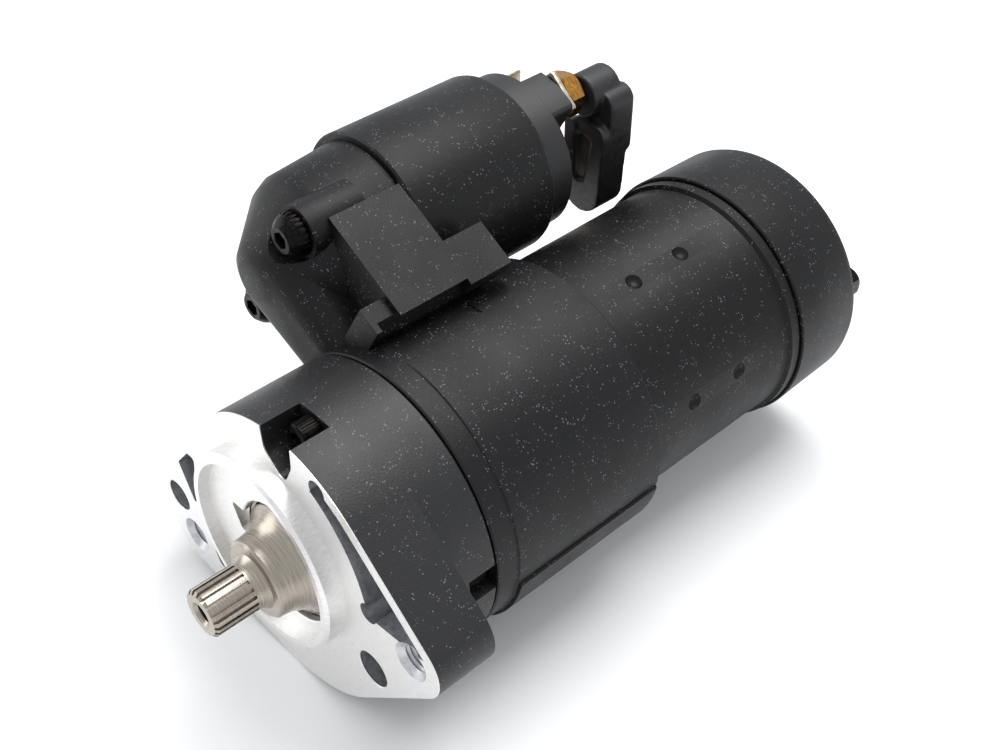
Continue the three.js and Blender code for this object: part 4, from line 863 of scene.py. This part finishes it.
# %% [markdown]
# The output shaft is one turned and ground forging: a hollow barrel, a cone and a splined end that
# drives the engine. The splines are hobbed, and the shaft keeps the centre hole it was ground between.

# %% Output shaft


def output_shaft():
    outline = [[0, -28], [6, -28], [6.76, -27.2], [6.76, -15], [7.1, -13.4], [8, -11.9]]
    outline += [[10.5, -11.9], [11.2, -11.2], [11.7, -7.3], [13.3, -3.9], [16.2, -1.5], [16.2, 21.2]]
    outline += [[15.9, 21.5], [0, 21.5]]
    shaft = turned("output shaft", outline)
    centre_hole = [[0, -29], [4.1, -29], [3.6, -28], [2.85, -27], [2.85, -21], [0, -19.6]]
    flute(shaft, (0, 0), 19, 5.85, 8, 0.95, -30, -15.4)
    carve(
        shaft,
        turned("centre hole", centre_hole, sides=48),
        cylinder("bore", 6.4, 4, 23, sides=64),
    )
    return complete(shaft, metals["bright_steel"], "output", "bright_steel", "output_shaft", edge=0.18)


output_shaft()
bearing = turned("output bearing", [[16.6, -0.3], [20.3, -0.3], [20.3, 6.6], [16.6, 6.6]])
complete(bearing, metals["bright_steel"], "housing", "bright_steel", "output_bearing", edge=0.4)

# %% [markdown]
# Three socket screws can be seen from the front. The two on the nose have domed, knurled heads. The one
# in the flange's notch is a plain cap screw.

# %% Screws


def nose_screw(number, centre):
    head = [[0, 34.3], [3.8, 34.3], [5.4, 35.9], [6.4, 37.9], [6.4, 39.7]]
    head += [[2.7, 39.7], [2.7, 73.6], [0, 73.6]]
    screw = turned(f"solenoid screw {number}", head, centre, 96)
    flute(screw, centre, 24, 6.0, 8, 0.7, 33, 39.9)
    carve(screw, cylinder("socket", 2.6, 30, 37.1, centre, 6))
    piece = f"solenoid_screw_{number}"
    return complete(screw, metals["dark_steel"], "housing", "dark_steel", piece, edge=0.15)


def housing_screw():
    centre = (-0.8, 36.6)
    head = [[0, 6.1], [3.8, 6.1], [4.3, 6.6], [4.3, 11.7], [2.4, 11.7], [2.4, 43.3], [0, 43.3]]
    screw = turned("housing screw", head, centre, 96)
    flute(screw, centre, 30, 4.05, 5, 0.4, 6.9, 11.5)
    carve(screw, cylinder("socket", 2.3, 4, 9.3, centre, 6))
    return complete(screw, metals["dark_steel"], "housing", "dark_steel", "housing_screw", edge=0.1)


for number, place in enumerate(NOSE_SCREWS, 1):
    nose_screw(number, place)
housing_screw()

# %% [markdown]
# A soft moulded boot covers the battery terminal. It is hung from a round lobe over the stud. Its body
# is a rounded box with a raised rim round a flat front panel, a pod on its right side, and a sleeve
# below that the cable leaves by. The parts are welded, remeshed finely and smoothed, because nothing on
# moulded rubber has a sharp corner.

# %% Rubber boot


def rubber_boot():
    boot = belt("rubber boot", [(-40.6, 27.4, 7.8), (-35.6, 48, 4), (-42, 48.4, 4)], 145.2, 156.6, 48)
    weld(
        boot,
        belt("pod", [(-36.4, 43, 4.6), (-36.2, 57.6, 4.6)], 148.2, 158.2, 48),
        cylinder("lobe", 6.6, 144.6, 156.2, (BATTERY[0] + 3.4, BATTERY[1] - 0.6), 64),
        brick("lip", (-48.2, -43), (144.9, 148.2), (39.6, 50.5)),
    )
    carve(
        boot,
        belt("panel", [(-41.4, 33, 2.6), (-38.6, 45.4, 1.8), (-41.6, 45.6, 1.8)], 143, 146.1, 24),
        cylinder("stud room", STUD_HOLE, 143, 153.2, BATTERY, 48),
    )
    take(boot)
    cells = boot.modifiers.new("cells", "REMESH")
    cells.mode = "VOXEL"
    cells.voxel_size = 0.42 * MM
    bpy.ops.object.modifier_apply(modifier=cells.name)
    soft = boot.modifiers.new("soft", "SMOOTH")
    soft.factor = 0.5
    soft.iterations = 9
    bpy.ops.object.modifier_apply(modifier=soft.name)
    rubber = metals["black_rubber"]
    return complete(boot, rubber, "housing", "black_rubber", "rubber_boot", edge=0.0, angle=60)


rubber_boot()

# %% [markdown]
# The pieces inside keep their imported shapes: gears, magnets, armature, brushes, coil, lever and
# plunger. Each gets the material of the real part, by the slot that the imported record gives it.

# %% Inner pieces
replaced = {
    "front_housing", "gear_housing", "motor_yoke", "end_cap", "through_bolt_1", "through_bolt_2",
    "solenoid_can", "terminal_cap", "battery_stud", "motor_stud", "battery_nut", "motor_nut",
    "battery_plate", "motor_lead", "spade_terminal", "output_shaft", "output_bearing",
    "solenoid_screw_1", "solenoid_screw_2", "housing_screw", "rubber_boot",
}
inner = 0
for row in frame["record"]["subparts"]:
    if row["node"] in replaced:
        continue
    inside = frame["nodes"][row["node"]]
    inside.data.materials.clear()
    inside.data.materials.append(metals[row["material_slot"]])
    inner += 1
print("inner pieces:", inner)

# %% [markdown]
# A pale floor and soft light from above, as in a light tent: one large lamp overhead and a little
# behind, a weaker one from the left, and a white surround that fills the shadows.

# %% Floor and light


def pale_floor():
    deselect()
    bpy.ops.mesh.primitive_plane_add(size=6, location=(0, 0, cad_box[0][2] - 0.0002))
    floor = named("floor")
    made, tree, shader, where = new_material("white sweep")
    mottle = node(tree, "TexNoise", {"Scale": 3.0, "Detail": 1.0}, {"Vector": where})
    shade = ramp(tree, mottle, 0.3, 0.7, "f3f3f4", "f7f7f7")
    tree.links.new(shade[0].outputs[2], shader.inputs["Base Color"])
    shader.inputs["Roughness"].default_value = 0.7
    floor.data.materials.append(made)
    return floor


def softbox(name, place, aim, size, watts):
    data = bpy.data.lights.new(name, "AREA")
    data.shape = "RECTANGLE"
    data.size, data.size_y = size
    data.energy = watts
    lamp = bpy.data.objects.new(name, data)
    lamp.location = place
    lamp.rotation_euler = (Vector(aim) - Vector(place)).to_track_quat("-Z", "Y").to_euler()
    bpy.context.scene.collection.objects.link(lamp)
    return lamp


def surround():
    world = bpy.data.worlds.new("light tent")
    world.use_nodes = True
    back = world.node_tree.nodes["Background"]
    back.inputs["Color"].default_value = linear("f6f8fb")
    back.inputs["Strength"].default_value = 0.9
    bpy.context.scene.world = world


pale_floor()
softbox("overhead", (-0.05, 0.35, 0.75), (-0.01, 0.09, 0), (0.6, 0.5), 6)
softbox("left", (-0.7, -0.35, 0.35), (0, 0.05, 0), (0.5, 0.5), 2)
surround()
bpy.context.scene.view_settings.view_transform = "Standard"
